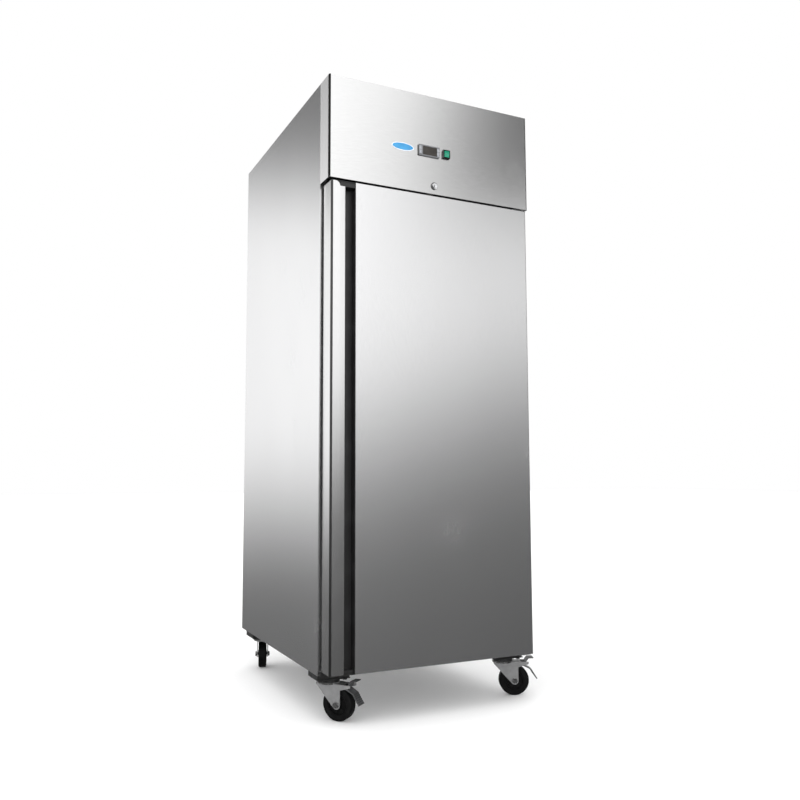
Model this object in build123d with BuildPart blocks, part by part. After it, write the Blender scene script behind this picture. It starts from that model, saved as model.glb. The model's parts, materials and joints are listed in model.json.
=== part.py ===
from build123d import *
import os
from math import cos, hypot, radians, sin

# Single-door reach-in refrigerator on four swivel casters.
# Millimetres. X to the right across the front, Y to the back, Z up.
# The origin is on the floor, below the middle of the body and door together.

os.makedirs("parts", exist_ok=True)

# Overall sizes
width = 740.0
body_depth = 830.0
height = 1985.0
fascia_height = 331.0

# Walls
sheet = 1.0
side_wall = 60.0
back_wall = 60.0
floor_wall = 60.0
ceiling_wall = 60.0
slab_joint = 0.5
deck_rise = 12.0
front_flange = 25.0
frame_thick = 3.0

# Door
door_thick = 62.0
gasket_gap = 13.0
door_side_gap = 8.5
door_bottom_gap = 12.0
door_top_gap = 7.0
door_plateau = 5.0
plateau_inset = 62.0
skin_radius = 3.0
gasket_inset = 16.0
gasket_width = 16.0
gasket_clearance = 0.3

# Pull handle down the door's left edge
grip_width = 46.0
grip_crease = 17.0
grip_wall = 1.8
grip_lip = 8.0
grip_corner = 6.0
grip_arc = 15.0
channel_mouth = 36.0
channel_undercut = 20.0
channel_depth = 30.0
channel_wall = 1.5
cap_plate = 2.0
cap_plug = 10.0

# Hinges on the right
hinge_inset = 14.0
hinge_back = 20.0
hinge_strap = 3.0
hinge_strap_gap = 3.0
hinge_strap_width = 44.0
hinge_flange = 13.0
pin_radius = 5.0
pin_clearance = 0.05
pin_length = 20.0
bush_wall = 3.0
bush_length = 24.0
bush_seat_gap = 0.05

# Controls in the fascia
panel_sheet = 1.2
panel_radius = 5.0
control_rise = 141.0
thermostat_x = -19.5
thermostat_width = 78.5
thermostat_height = 36.5
thermostat_proud = 5.0
thermostat_body_width = 70.0
thermostat_body_height = 28.5
thermostat_body_depth = 58.0
cutout_clearance = 0.5
screen_width = 52.0
screen_height = 29.0
screen_offset = 2.4
screen_thick = 2.0
key_width = 8.0
key_height = 27.0
key_thick = 3.6
key_proud = 0.8
key_pocket = 3.8
key_clearance = 0.3
key_edge = 2.2
switch_x = 45.2
switch_width = 24.4
switch_height = 30.0
switch_proud = 9.0
switch_body_depth = 26.0
rocker_clearance = 0.4
rocker_tilt = 7.0
rocker_pin_radius = 1.2
rocker_pin_reach = 1.2
badge_x = -115.0
badge_width = 79.0
badge_height = 26.0
badge_thick = 1.2
lock_rise = 27.0
lock_flange_radius = 12.0
lock_flange = 2.5
lock_barrel_radius = 9.5
lock_barrel_length = 24.0
lock_plug_radius = 6.5
lock_fit = 0.05
lock_tail_radius = 4.0
bolt_width = 18.0
bolt_thick = 3.0
bolt_travel = 12.0
bolt_clearance = 0.5

# Casters
wheel_radius = 50.0
wheel_width = 30.0
wheel_hub_width = 34.0
caster_trail = 36.0
caster_inset_x = 53.0
caster_inset_front = 38.0
caster_inset_back = 105.0
pad_height = 12.0
pad_clearance = 2.5
plate_x = 105.0
plate_y = 85.0
plate_thick = 3.0
plate_hole_x = 80.0
plate_hole_y = 60.0
bolt_radius = 4.0
bolt_head_height = 5.0
bolt_head_flats = 13.0
race_radius = 33.0
race_gap = 0.3
fork_thick = 2.5
fork_crown = 11.0
swivel_height = 17.0
fork_gap = 1.5
kingpin_radius = 6.0
kingpin_head = 9.0
axle_radius = 5.0
axle_clearance = 0.06
axle_head_flats = 16.0
axle_head_height = 6.0
leg_radius = 13.0

# Inside the cabinet
pilaster_width = 26.0
pilaster_thick = 10.0
pilaster_inset = 45.0
pilaster_pitch = 50.0
slide_ledge = 42.0
slide_height = 24.0
slide_sheet = 1.5
shelf_side_gap = 35.0
shelf_end_room = 120.0
shelf_wire = 4.0
shelf_rim = 6.0
shelf_count = 3

# Cooling machine
cover_side_room = 50.0
cover_height = 130.0
cover_depth = 330.0
cover_sheet = 1.5
machine_side_room = 70.0
machine_middle_room = 100.0
machine_end_room = 40.0
machine_top_room = 69.0

# Shared places
fork_top = 2 * wheel_radius + fork_crown
caster_height = fork_top + swivel_height
underside = caster_height + pad_height
fascia_bottom = height - fascia_height
door_bottom = underside + door_bottom_gap
door_top = fascia_bottom - door_top_gap
front_y = -(body_depth + gasket_gap + door_thick) / 2
door_back_y = front_y + door_thick
face_y = door_back_y + gasket_gap
back_y = face_y + body_depth
side_x = width / 2
door_x = side_x - door_side_gap
inner_x = side_x - side_wall
inner_back_y = back_y - back_wall
inner_floor = underside + floor_wall
deck_z = fascia_bottom + deck_rise
inner_top = deck_z - ceiling_wall
foam_front_y = face_y + frame_thick
skin_x = side_x - sheet
control_z = fascia_bottom + control_rise
lock_z = fascia_bottom + lock_rise
hinge_x = door_x - hinge_inset
hinge_y = door_back_y - hinge_back
cover_low = inner_top - cover_height
shelf_width = 2 * (inner_x - pilaster_thick - shelf_side_gap)
shelf_depth = inner_back_y - face_y - shelf_end_room
shelf_pitch = (cover_low - inner_floor) / (shelf_count + 1)
shelf_heights = [inner_floor + shelf_pitch * (step + 1) for step in range(shelf_count)]


def block(x0, x1, y0, y1, z0, z1, mode=Mode.ADD):
    """Box between two corners, in the piece being built."""
    with Locations(((x0 + x1) / 2, (y0 + y1) / 2, (z0 + z1) / 2)):
        Box(x1 - x0, y1 - y0, z1 - z0, mode=mode)


def rod(x, y, z0, z1, radius, mode=Mode.ADD):
    """Upright cylinder in the piece being built."""
    with Locations((x, y, (z0 + z1) / 2)):
        Cylinder(radius, z1 - z0, mode=mode)


def drum(x, y0, y1, z, radius, mode=Mode.ADD):
    """Cylinder lying front to back in the piece being built."""
    with Locations((x, (y0 + y1) / 2, z)):
        Cylinder(radius, y1 - y0, rotation=(90, 0, 0), mode=mode)


def save(piece, node):
    piece.part.label = node
    export_step(piece.part, f"parts/{node}.step")


# ---------------------------------------------------------------- outer sheets

# Each side sheet turns in across the cabinet face as a flange for the gasket.
for side, word in ((-1, "left"), (1, "right")):
    with BuildPart() as side_panel:
        with BuildSketch(Plane.XY.offset(underside)):
            with BuildLine():
                Polyline(
                    (side * side_x, back_y),
                    (side * side_x, face_y),
                    (side * (skin_x - front_flange), face_y),
                    (side * (skin_x - front_flange), face_y + sheet),
                    (side * skin_x, face_y + sheet),
                    (side * skin_x, back_y),
                    close=True,
                )
            make_face()
        extrude(amount=height - underside)
    save(side_panel, f"side_panel_{word}")

# Back sheet with a field of vent slots over the machine compartment.
vent_columns = 3
vent_rows = 9
vent_pitch_x = 190.0
vent_pitch_z = 22.0
vent_slot = 150.0
vent_slot_height = 6.0
vent_z = (deck_z + height) / 2
gland_x = -side_x + 70.0
gland_z = deck_z + 40.0
gland_radius = 11.0
with BuildPart() as back_panel:
    block(-skin_x, skin_x, back_y - sheet, back_y, underside, height)
    with BuildSketch(Plane(origin=(0, back_y, vent_z), x_dir=(1, 0, 0), z_dir=(0, -1, 0))):
        with GridLocations(vent_pitch_x, vent_pitch_z, vent_columns, vent_rows):
            SlotOverall(vent_slot, vent_slot_height)
    extrude(amount=sheet * 2, both=True, mode=Mode.SUBTRACT)
    drum(gland_x, back_y - 2 * sheet, back_y + sheet, gland_z, gland_radius, mode=Mode.SUBTRACT)
save(back_panel, "back_panel")

with BuildPart() as base_panel:
    block(-skin_x, skin_x, face_y + sheet, back_y - sheet, underside, underside + sheet)
    block(-skin_x + front_flange, skin_x - front_flange, face_y, face_y + sheet,
          underside, underside + front_flange)
save(base_panel, "base_panel")

with BuildPart() as top_panel:
    block(-skin_x, skin_x, face_y + sheet, back_y - sheet, height - sheet, height)
save(top_panel, "top_panel")

# Mounting pads between the base and the caster plates.
caster_places = {
    "front_left": (-side_x + caster_inset_x, face_y + caster_inset_front, -51.7),
    "front_right": (side_x - caster_inset_x, face_y + caster_inset_front, -25.0),
    "rear_left": (-side_x + caster_inset_x, back_y - caster_inset_back, 73.7),
    "rear_right": (side_x - caster_inset_x, back_y - caster_inset_back, 58.0),
}
plate_spots = [(x, y) for x, y, heading in caster_places.values()]
with BuildPart() as base_pads:
    for x, y in plate_spots:
        pad_y0 = max(y - plate_y / 2 - pad_clearance, face_y + sheet)
        pad_x = plate_x / 2
        x0 = max(x - pad_x, -side_x)
        x1 = min(x + pad_x, side_x)
        block(x0, x1, pad_y0, y + plate_y / 2, caster_height, underside)
save(base_pads, "base_pads")

# Plastic frame round the opening, in four lengths.
frame_x = skin_x - front_flange
frame_low = underside + front_flange
with BuildPart() as front_frame:
    for side in (-1, 1):
        x0, x1 = sorted((side * inner_x, side * frame_x))
        block(x0, x1, face_y, foam_front_y, frame_low, deck_z - sheet)
    span = inner_x - slab_joint
    block(-span, span, face_y, foam_front_y, frame_low, inner_floor - sheet)
    block(-span, span, face_y, foam_front_y, inner_top + sheet, deck_z - sheet)
save(front_frame, "front_frame")

# ------------------------------------------------------- insulation and liner

pipe_x = 150.0
pipe_y = inner_back_y - 60.0
pipe_radius = 5.0
pipe_hole_radius = 9.0
slab_low = underside + sheet
slab_high = deck_z - sheet
with BuildPart() as foam_insulation:
    for side in (-1, 1):
        x0, x1 = sorted((side * (inner_x + sheet), side * skin_x))
        block(x0, x1, foam_front_y, back_y - sheet, slab_low, slab_high)
    span = inner_x + sheet - slab_joint
    block(-span, span, inner_back_y + sheet, back_y - sheet, slab_low, slab_high)
    slab_back = inner_back_y + sheet - slab_joint
    block(-span, span, foam_front_y, slab_back, slab_low, inner_floor - sheet)
    block(-span, span, foam_front_y, slab_back, inner_top + sheet, slab_high)
    rod(pipe_x, pipe_y, inner_top, deck_z, pipe_hole_radius, mode=Mode.SUBTRACT)
save(foam_insulation, "foam_insulation")

with BuildPart() as inner_liner:
    block(-inner_x - sheet, inner_x + sheet, foam_front_y, inner_back_y + sheet,
          inner_floor - sheet, inner_top + sheet)
    block(-inner_x, inner_x, foam_front_y - sheet, inner_back_y, inner_floor, inner_top,
          mode=Mode.SUBTRACT)
    rod(pipe_x, pipe_y, inner_top, deck_z, pipe_hole_radius, mode=Mode.SUBTRACT)
save(inner_liner, "inner_liner")

with BuildPart() as machine_deck:
    block(-skin_x, skin_x, face_y + sheet, back_y - sheet, deck_z - sheet, deck_z)
    rod(pipe_x, pipe_y, inner_top, deck_z + sheet, pipe_hole_radius, mode=Mode.SUBTRACT)
save(machine_deck, "machine_deck")

# ------------------------------------------------------------ shelf hardware

pilaster_low = inner_floor + 15.0
pilaster_high = inner_top - 170.0
pilaster_front = face_y + pilaster_inset
pilaster_back = pilaster_front + shelf_depth
slot_rows = int((pilaster_high - pilaster_low) / pilaster_pitch) - 1
with BuildPart() as pilasters:
    for side in (-1, 1):
        for y in (pilaster_front, pilaster_back):
            x0, x1 = sorted((side * inner_x, side * (inner_x - pilaster_thick)))
            block(x0, x1, y - pilaster_width / 2, y + pilaster_width / 2,
                  pilaster_low, pilaster_high)
            hook_plane = Plane(
                origin=(side * (inner_x - pilaster_thick), y, (pilaster_low + pilaster_high) / 2),
                x_dir=(0, 1, 0),
                z_dir=(1, 0, 0),
            )
            with BuildSketch(hook_plane):
                with GridLocations(1, pilaster_pitch, 1, slot_rows):
                    Rectangle(pilaster_width / 3, pilaster_pitch / 5)
            extrude(amount=pilaster_thick / 2, both=True, mode=Mode.SUBTRACT)
save(pilasters, "pilasters")

slide_x = inner_x - pilaster_thick
slide_front = pilaster_front - pilaster_width / 2
slide_back = pilaster_back + pilaster_width / 2
with BuildPart() as shelf_slides:
    for z in shelf_heights:
        for side in (-1, 1):
            x0, x1 = sorted((side * slide_x, side * (slide_x - slide_ledge)))
            block(x0, x1, slide_front, slide_back, z - slide_sheet, z)
            x0, x1 = sorted((side * slide_x, side * (slide_x - slide_sheet)))
            block(x0, x1, slide_front, slide_back, z - slide_sheet, z + slide_height)
save(shelf_slides, "shelf_slides")

# Wire shelves resting on the slides.
shelf_front = slide_front + 6.0
shelf_back = shelf_front + shelf_depth
shelf_wires = 17
with BuildPart() as wire_shelves:
    for z0 in shelf_heights:
        z1 = z0 + shelf_rim
        half = shelf_width / 2
        block(-half, half, shelf_front, shelf_back, z0, z1)
        block(-half + shelf_rim, half - shelf_rim, shelf_front + shelf_rim,
              shelf_back - shelf_rim, z0, z1, mode=Mode.SUBTRACT)
        with Locations((0, (shelf_front + shelf_back) / 2, z1 - shelf_wire / 2)):
            with GridLocations(shelf_width / (shelf_wires + 1), 1, shelf_wires, 1):
                Box(shelf_wire, shelf_depth - shelf_rim, shelf_wire)
        with Locations((0, (shelf_front + shelf_back) / 2, z0 + shelf_wire / 2)):
            with GridLocations(1, shelf_depth / 3, 1, 2):
                Box(shelf_width - shelf_rim, shelf_wire, shelf_wire)
save(wire_shelves, "wire_shelves")

# Lamp under the cabinet ceiling, just behind the opening.
lamp_length = 300.0
lamp_depth = 32.0
lamp_height = 20.0
with BuildPart() as interior_lamp:
    lamp_y = face_y + 40.0
    block(-lamp_length / 2, lamp_length / 2, lamp_y, lamp_y + lamp_depth,
          inner_top - lamp_height, inner_top)
    bottom_edges = interior_lamp.faces().sort_by(Axis.Z)[0].edges()
    fillet(bottom_edges, radius=6)
save(interior_lamp, "interior_lamp")

# ------------------------------------------------------------ cooling machine

cover_wall_gap = 20.0
cover_back = inner_back_y - cover_wall_gap
cover_front = cover_back - cover_depth
cover_half = inner_x - cover_side_room
evaporator_fan_radius = 50.0
evaporator_fan_z = (cover_low + inner_top) / 2
evaporator_fan_y = cover_front + 24.0
with BuildPart() as evaporator_cover:
    block(-cover_half, cover_half, cover_front, cover_back, cover_low, inner_top)
    block(-cover_half + cover_sheet, cover_half - cover_sheet, cover_front + cover_sheet,
          cover_back - cover_sheet, cover_low + cover_sheet, inner_top + 1, mode=Mode.SUBTRACT)
    drum(0, cover_front - 1, cover_front + 2 * cover_sheet, evaporator_fan_z,
         evaporator_fan_radius + 3, mode=Mode.SUBTRACT)
    with BuildSketch(Plane(origin=(0, cover_back, evaporator_fan_z), x_dir=(1, 0, 0),
                           z_dir=(0, -1, 0))):
        with GridLocations(90, 18, 5, 5):
            SlotOverall(70, 6)
    extrude(amount=2 * cover_sheet, both=True, mode=Mode.SUBTRACT)
save(evaporator_cover, "evaporator_cover")

coil_half = cover_half - 60.0
coil_fins = 24
coil_tube_radius = 5.0
with BuildPart() as evaporator_coil:
    coil_y0 = cover_back - 130.0
    coil_y1 = cover_back - 40.0
    coil_z0 = cover_low + 22.0
    coil_z1 = inner_top - 14.0
    for z in (coil_z0 + 20, (coil_z0 + coil_z1) / 2, coil_z1 - 20):
        for y in (coil_y0 + 22, coil_y1 - 22):
            with Locations((0, y, z)):
                Cylinder(coil_tube_radius, 2 * coil_half + 30, rotation=(0, 90, 0))
    for side in (-1, 1):
        x = side * (coil_half + 15)
        block(x - 5, x + 5, coil_y0 + 14, coil_y1 - 14, coil_z0 + 12, coil_z1 - 12)
    with Locations((0, (coil_y0 + coil_y1) / 2, (coil_z0 + coil_z1) / 2)):
        with GridLocations(2 * coil_half / (coil_fins - 1), 1, coil_fins, 1):
            Box(1.5, coil_y1 - coil_y0, coil_z1 - coil_z0)
    block(pipe_x - 9, pipe_x + 9, coil_y1 - 30, coil_y1, coil_z1 - 20, coil_z1)
save(evaporator_coil, "evaporator_coil")

bay_width = (width - machine_side_room - machine_middle_room - machine_end_room) / 2
condenser_half = bay_width / 2
condenser_x = -side_x + machine_side_room + condenser_half
condenser_front = face_y + 40.0
condenser_depth = 70.0
condenser_height = height - deck_z - machine_top_room
condenser_fins = 26
shroud_gap = 2.0
shroud_depth = 30.0
shroud_y = condenser_front + condenser_depth + shroud_gap
shroud_rim = 20.0
condenser_fan_radius = min(condenser_half, condenser_height / 2) - shroud_rim
condenser_fan_z = deck_z + condenser_height / 2
with BuildPart() as condenser_coil:
    y0 = condenser_front
    y1 = condenser_front + condenser_depth
    for side in (-1, 1):
        x = condenser_x + side * condenser_half
        block(x - 1.5, x + 1.5, y0, y1, deck_z, deck_z + condenser_height)
    for row in range(5):
        z = deck_z + (row + 0.5) * condenser_height / 5
        with Locations((condenser_x, (y0 + y1) / 2, z)):
            Cylinder(coil_tube_radius, 2 * condenser_half + 20, rotation=(0, 90, 0))
    with Locations((condenser_x, (y0 + y1) / 2, condenser_fan_z)):
        with GridLocations(2 * condenser_half / (condenser_fins + 1), 1, condenser_fins, 1):
            Box(1.5, condenser_depth - 6, condenser_height - 6)
save(condenser_coil, "condenser_coil")

with BuildPart() as condenser_shroud:
    y0 = shroud_y
    y1 = shroud_y + shroud_depth
    block(condenser_x - condenser_half, condenser_x + condenser_half, y0, y1,
          deck_z, deck_z + condenser_height)
    drum(condenser_x, y0 - 1, y1 + 1, condenser_fan_z, condenser_fan_radius + 4, mode=Mode.SUBTRACT)
save(condenser_shroud, "condenser_shroud")


def fan(x, y, z, radius, hub_radius, depth, blades):
    """Axial fan turning about a front-to-back shaft; its middle is at x, y, z."""
    spin_plane = Plane(origin=(x, y, z), x_dir=(1, 0, 0), z_dir=(0, -1, 0))
    with BuildPart(spin_plane) as rotor:
        Cylinder(hub_radius, depth)
        reach = radius - hub_radius * 0.6
        with PolarLocations(hub_radius * 0.6 + reach / 2, blades):
            Box(reach, depth * 1.5, 2, rotation=(28, 0, 0))
        Cylinder(radius, depth * 2, mode=Mode.INTERSECT)
    return rotor


fan_depth = 20.0
motor_gap = 1.0
evaporator_fan = fan(0, evaporator_fan_y, evaporator_fan_z, evaporator_fan_radius, 20, fan_depth, 5)
save(evaporator_fan, "evaporator_fan")
condenser_fan_y = shroud_y + shroud_depth / 2
condenser_fan = fan(condenser_x, condenser_fan_y, condenser_fan_z, condenser_fan_radius, 32,
                    fan_depth, 5)
save(condenser_fan, "condenser_fan")

# Two alike motors, each on a foot or a hanger.
motor_radius = 28.0
motor_length = 55.0
with BuildPart() as fan_motors:
    y0 = evaporator_fan_y + fan_depth / 2 + motor_gap
    drum(0, y0, y0 + motor_length, evaporator_fan_z, motor_radius)
    block(-8, 8, y0 + 15, y0 + 40, evaporator_fan_z, inner_top)
    y0 = condenser_fan_y + fan_depth / 2 + motor_gap
    drum(condenser_x, y0, y0 + motor_length, condenser_fan_z, motor_radius)
    block(condenser_x - 8, condenser_x + 8, y0 + 15, y0 + 40, deck_z, condenser_fan_z)
save(fan_motors, "fan_motors")

compressor_radius = 82.0
compressor_x = pipe_x + 25.0
compressor_y = pipe_y - 130.5 - compressor_radius
compressor_height = 175.0
compressor_foot = 14.0
with BuildPart() as compressor:
    rod(compressor_x, compressor_y, deck_z + compressor_foot, deck_z + compressor_height,
        compressor_radius)
    fillet(compressor.edges().filter_by(GeomType.CIRCLE), radius=28)
    block(compressor_x - 95, compressor_x + 95, compressor_y - 55, compressor_y + 55,
          deck_z + compressor_foot - 3, deck_z + compressor_foot + 1)
    with Locations((compressor_x, compressor_y, deck_z + compressor_foot / 2)):
        with GridLocations(165, 90, 2, 2):
            Cylinder(11, compressor_foot)
save(compressor, "compressor")

# Suction line down to the evaporator and discharge line across to the condenser.
with BuildPart() as refrigerant_pipes:
    rise = deck_z + 90.0
    with BuildLine():
        FilletPolyline(
            (pipe_x, pipe_y, coil_z1),
            (pipe_x, pipe_y, rise),
            (pipe_x, compressor_y + compressor_radius - 1, rise),
            radius=20,
        )
    with BuildSketch(Plane(origin=(pipe_x, pipe_y, coil_z1), z_dir=(0, 0, 1))):
        Circle(pipe_radius)
    sweep()
save(refrigerant_pipes, "refrigerant_pipes")

# Tray that the condensate drains into, on the deck.
tray_wall = 2.0
tray_length = 340.0
tray_depth = 160.0
tray_height = 45.0
tray_back_gap = 30.0
with BuildPart() as drain_tray:
    x0 = -side_x + machine_side_room
    x1 = x0 + tray_length
    y1 = back_y - tray_back_gap
    y0 = y1 - tray_depth
    block(x0, x1, y0, y1, deck_z, deck_z + tray_height)
    block(x0 + tray_wall, x1 - tray_wall, y0 + tray_wall, y1 - tray_wall,
          deck_z + tray_wall, deck_z + tray_height + 1, mode=Mode.SUBTRACT)
save(drain_tray, "drain_tray")

box_front_gap = 45.0
box_depth = 120.0
box_height = 110.0
with BuildPart() as control_box:
    x1 = side_x - machine_end_room
    y0 = face_y + box_front_gap
    block(x1 - bay_width, x1, y0, y0 + box_depth, deck_z, deck_z + box_height)
    fillet(control_box.edges().filter_by(Axis.Z), radius=6)
save(control_box, "control_box")

gland_bore = 5.0
with BuildPart() as cable_gland:
    drum(gland_x, back_y - 14, back_y + 1 - sheet, gland_z, gland_radius - 0.3)
    with BuildSketch(Plane(origin=(gland_x, back_y - sheet, gland_z), x_dir=(1, 0, 0),
                           z_dir=(0, -1, 0))):
        RegularPolygon(gland_radius + 4, 6)
    extrude(amount=5)
    drum(gland_x, back_y - 15, back_y + 1, gland_z, gland_bore, mode=Mode.SUBTRACT)
save(cable_gland, "cable_gland")

# ------------------------------------------------------------------- fascia

with BuildPart() as fascia_panel:
    with BuildSketch(Plane.XY.offset(fascia_bottom)):
        with Locations((0, (front_y + face_y) / 2)):
            Rectangle(width, face_y - front_y)
    extrude(amount=fascia_height)
    upright = fascia_panel.edges().filter_by(Axis.Z).group_by(Axis.Y)[0]
    fillet(upright, radius=panel_radius)
    with BuildSketch(Plane.XY.offset(fascia_bottom + panel_sheet)):
        with Locations((0, (front_y + panel_sheet + face_y) / 2)):
            hollow = Rectangle(width - 2 * panel_sheet, face_y - front_y - panel_sheet)
        inner_corners = hollow.vertices().group_by(Axis.Y)[0]
        fillet(inner_corners, radius=panel_radius - panel_sheet)
    extrude(amount=fascia_height - 2 * panel_sheet, mode=Mode.SUBTRACT)
    # The bottom return stops short of the hinge strap's bend.
    block(-side_x + panel_sheet, side_x - panel_sheet, face_y - hinge_strap - 1, face_y,
          fascia_bottom - 1, fascia_bottom + panel_sheet, mode=Mode.SUBTRACT)
    cut = cutout_clearance
    block(thermostat_x - thermostat_body_width / 2 - cut, thermostat_x + thermostat_body_width / 2 + cut,
          front_y - 1, front_y + 2 * panel_sheet,
          control_z - thermostat_body_height / 2 - cut, control_z + thermostat_body_height / 2 + cut,
          mode=Mode.SUBTRACT)
    block(switch_x - switch_width / 2 + 1, switch_x + switch_width / 2 - 1,
          front_y - 1, front_y + 2 * panel_sheet,
          control_z - switch_height / 2 + 1, control_z + switch_height / 2 - 1,
          mode=Mode.SUBTRACT)
    drum(0, front_y - 1, front_y + 2 * panel_sheet, lock_z, lock_barrel_radius + 0.2,
         mode=Mode.SUBTRACT)
    bolt_y = front_y + lock_barrel_length + 4
    block(-bolt_width / 2 - bolt_clearance, bolt_width / 2 + bolt_clearance,
          bolt_y - bolt_clearance, bolt_y + bolt_thick + bolt_clearance,
          fascia_bottom - 1, fascia_bottom + 2 * panel_sheet, mode=Mode.SUBTRACT)
save(fascia_panel, "fascia_panel")

# Thermostat: bezel and body in one moulding, a dark screen, and a key pad each side.
bezel_front = front_y - thermostat_proud
screen_x = thermostat_x + screen_offset
left_key_x = thermostat_x - thermostat_width / 2 + key_edge + key_width / 2
right_key_x = thermostat_x + thermostat_width / 2 - key_edge - key_width / 2
key_places = {"left": left_key_x, "right": right_key_x}
with BuildPart() as thermostat_bezel:
    block(thermostat_x - thermostat_width / 2, thermostat_x + thermostat_width / 2,
          bezel_front, front_y,
          control_z - thermostat_height / 2, control_z + thermostat_height / 2)
    fillet(thermostat_bezel.edges().filter_by(Axis.Y), radius=3)
    block(thermostat_x - thermostat_body_width / 2, thermostat_x + thermostat_body_width / 2,
          front_y, front_y + thermostat_body_depth,
          control_z - thermostat_body_height / 2, control_z + thermostat_body_height / 2)
    block(screen_x - screen_width / 2, screen_x + screen_width / 2,
          bezel_front, bezel_front + screen_thick,
          control_z - screen_height / 2, control_z + screen_height / 2, mode=Mode.SUBTRACT)
    for key_x in key_places.values():
        reach_x = key_width / 2 + key_clearance
        reach_z = key_height / 2 + key_clearance
        block(key_x - reach_x, key_x + reach_x, bezel_front, bezel_front + key_pocket,
              control_z - reach_z, control_z + reach_z, mode=Mode.SUBTRACT)
save(thermostat_bezel, "thermostat_bezel")

with BuildPart() as thermostat_screen:
    block(screen_x - screen_width / 2, screen_x + screen_width / 2,
          bezel_front, bezel_front + screen_thick,
          control_z - screen_height / 2, control_z + screen_height / 2)
save(thermostat_screen, "thermostat_screen")

for word, key_x in key_places.items():
    with BuildPart() as thermostat_key:
        y0 = bezel_front - key_proud
        block(key_x - key_width / 2, key_x + key_width / 2, y0, y0 + key_thick,
              control_z - key_height / 2, control_z + key_height / 2)
        fillet(thermostat_key.faces().sort_by(Axis.Y)[0].edges(), radius=0.5)
    save(thermostat_key, f"thermostat_key_{word}")

# Rocker switch, tilted to its on side; its shaft lies across the housing.
rocker_y = front_y - 6.0
cavity_x = switch_width / 2 - 2.5
cavity_z = switch_height / 2 - 2.5
with BuildPart() as switch_housing:
    block(switch_x - switch_width / 2, switch_x + switch_width / 2,
          front_y - switch_proud, front_y,
          control_z - switch_height / 2, control_z + switch_height / 2)
    fillet(switch_housing.edges().filter_by(Axis.Y), radius=2)
    block(switch_x - switch_width / 2 + 1.5, switch_x + switch_width / 2 - 1.5,
          front_y, front_y + switch_body_depth,
          control_z - switch_height / 2 + 1.5, control_z + switch_height / 2 - 1.5)
    block(switch_x - cavity_x, switch_x + cavity_x, front_y - switch_proud, front_y + 2,
          control_z - cavity_z, control_z + cavity_z, mode=Mode.SUBTRACT)
    with Locations((switch_x, rocker_y, control_z)):
        Cylinder(rocker_pin_radius + pin_clearance, 2 * (cavity_x + rocker_pin_reach),
                 rotation=(0, 90, 0), mode=Mode.SUBTRACT)
save(switch_housing, "switch_housing")

rocker_half = cavity_z - 3 * rocker_clearance
tilt = radians(rocker_tilt)
tilt_plane = Plane(
    origin=(switch_x, rocker_y, control_z),
    x_dir=(0, -cos(tilt), -sin(tilt)),
    z_dir=(1, 0, 0),
)
with BuildPart() as switch_rocker:
    with BuildSketch(tilt_plane):
        with BuildLine():
            Polyline(
                (-3, -rocker_half + 1),
                (5.5, -rocker_half),
                (3.5, 0),
                (5.5, rocker_half),
                (-3, rocker_half - 1),
                close=True,
            )
        make_face()
    extrude(amount=cavity_x - rocker_clearance, both=True)
    with Locations((switch_x, rocker_y, control_z)):
        Cylinder(rocker_pin_radius, 2 * (cavity_x + rocker_pin_reach) - 2 * pin_clearance,
                 rotation=(0, 90, 0))
save(switch_rocker, "switch_rocker")

# Plain oval badge on the fascia.
with BuildPart() as oval_badge:
    with BuildSketch(Plane(origin=(badge_x, front_y, control_z), x_dir=(1, 0, 0), z_dir=(0, -1, 0))):
        Ellipse(badge_width / 2, badge_height / 2)
    extrude(amount=badge_thick)
    fillet(oval_badge.faces().sort_by(Axis.Y)[0].edges(), radius=badge_thick / 2)
save(oval_badge, "oval_badge")

# Cylinder lock: fixed barrel, turning plug, and a bolt that drops into the door.
with BuildPart() as lock_barrel:
    drum(0, front_y - lock_flange, front_y, lock_z, lock_flange_radius)
    fillet(lock_barrel.faces().sort_by(Axis.Y)[0].edges(), radius=1)
    drum(0, front_y, front_y + lock_barrel_length, lock_z, lock_barrel_radius)
    drum(0, front_y - lock_flange - 1, front_y + lock_barrel_length + 1, lock_z,
         lock_plug_radius + lock_fit, mode=Mode.SUBTRACT)
save(lock_barrel, "lock_barrel")

with BuildPart() as lock_plug:
    drum(0, front_y - lock_flange, front_y + lock_barrel_length, lock_z, lock_plug_radius)
    drum(0, front_y + lock_barrel_length, bolt_y + bolt_thick + 3, lock_z, lock_tail_radius)
    block(-1, 1, front_y - lock_flange - 1, front_y + 6, lock_z - 4, lock_z + 4,
          mode=Mode.SUBTRACT)
save(lock_plug, "lock_plug")

bolt_low = door_top + 1.5
bolt_high = lock_z + lock_tail_radius + bolt_travel + 6
with BuildPart() as lock_bolt:
    block(-bolt_width / 2, bolt_width / 2, bolt_y, bolt_y + bolt_thick, bolt_low, bolt_high)
    slot_half = lock_tail_radius + bolt_clearance
    with BuildSketch(Plane(origin=(0, bolt_y, lock_z + bolt_travel / 2), x_dir=(1, 0, 0),
                           z_dir=(0, -1, 0))):
        SlotOverall(bolt_travel + 2 * slot_half, 2 * slot_half, rotation=90)
    extrude(amount=2 * bolt_thick, both=True, mode=Mode.SUBTRACT)
save(lock_bolt, "lock_bolt")

# --------------------------------------------------------------------- door

grip_x0 = -door_x
grip_x1 = grip_x0 + grip_width
crease_x = grip_x1 - grip_crease
channel_x1 = grip_x1 + channel_mouth
channel_x0 = grip_x1 - channel_undercut
channel_back = front_y + channel_depth
bush_radius = pin_radius + pin_clearance + bush_wall
keeper_half = bolt_width / 2 + 2 * bolt_clearance
keeper_y0 = bolt_y - 2 * bolt_clearance
keeper_y1 = bolt_y + bolt_thick + 2 * bolt_clearance
keeper_low = bolt_low - bolt_travel - 2


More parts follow.
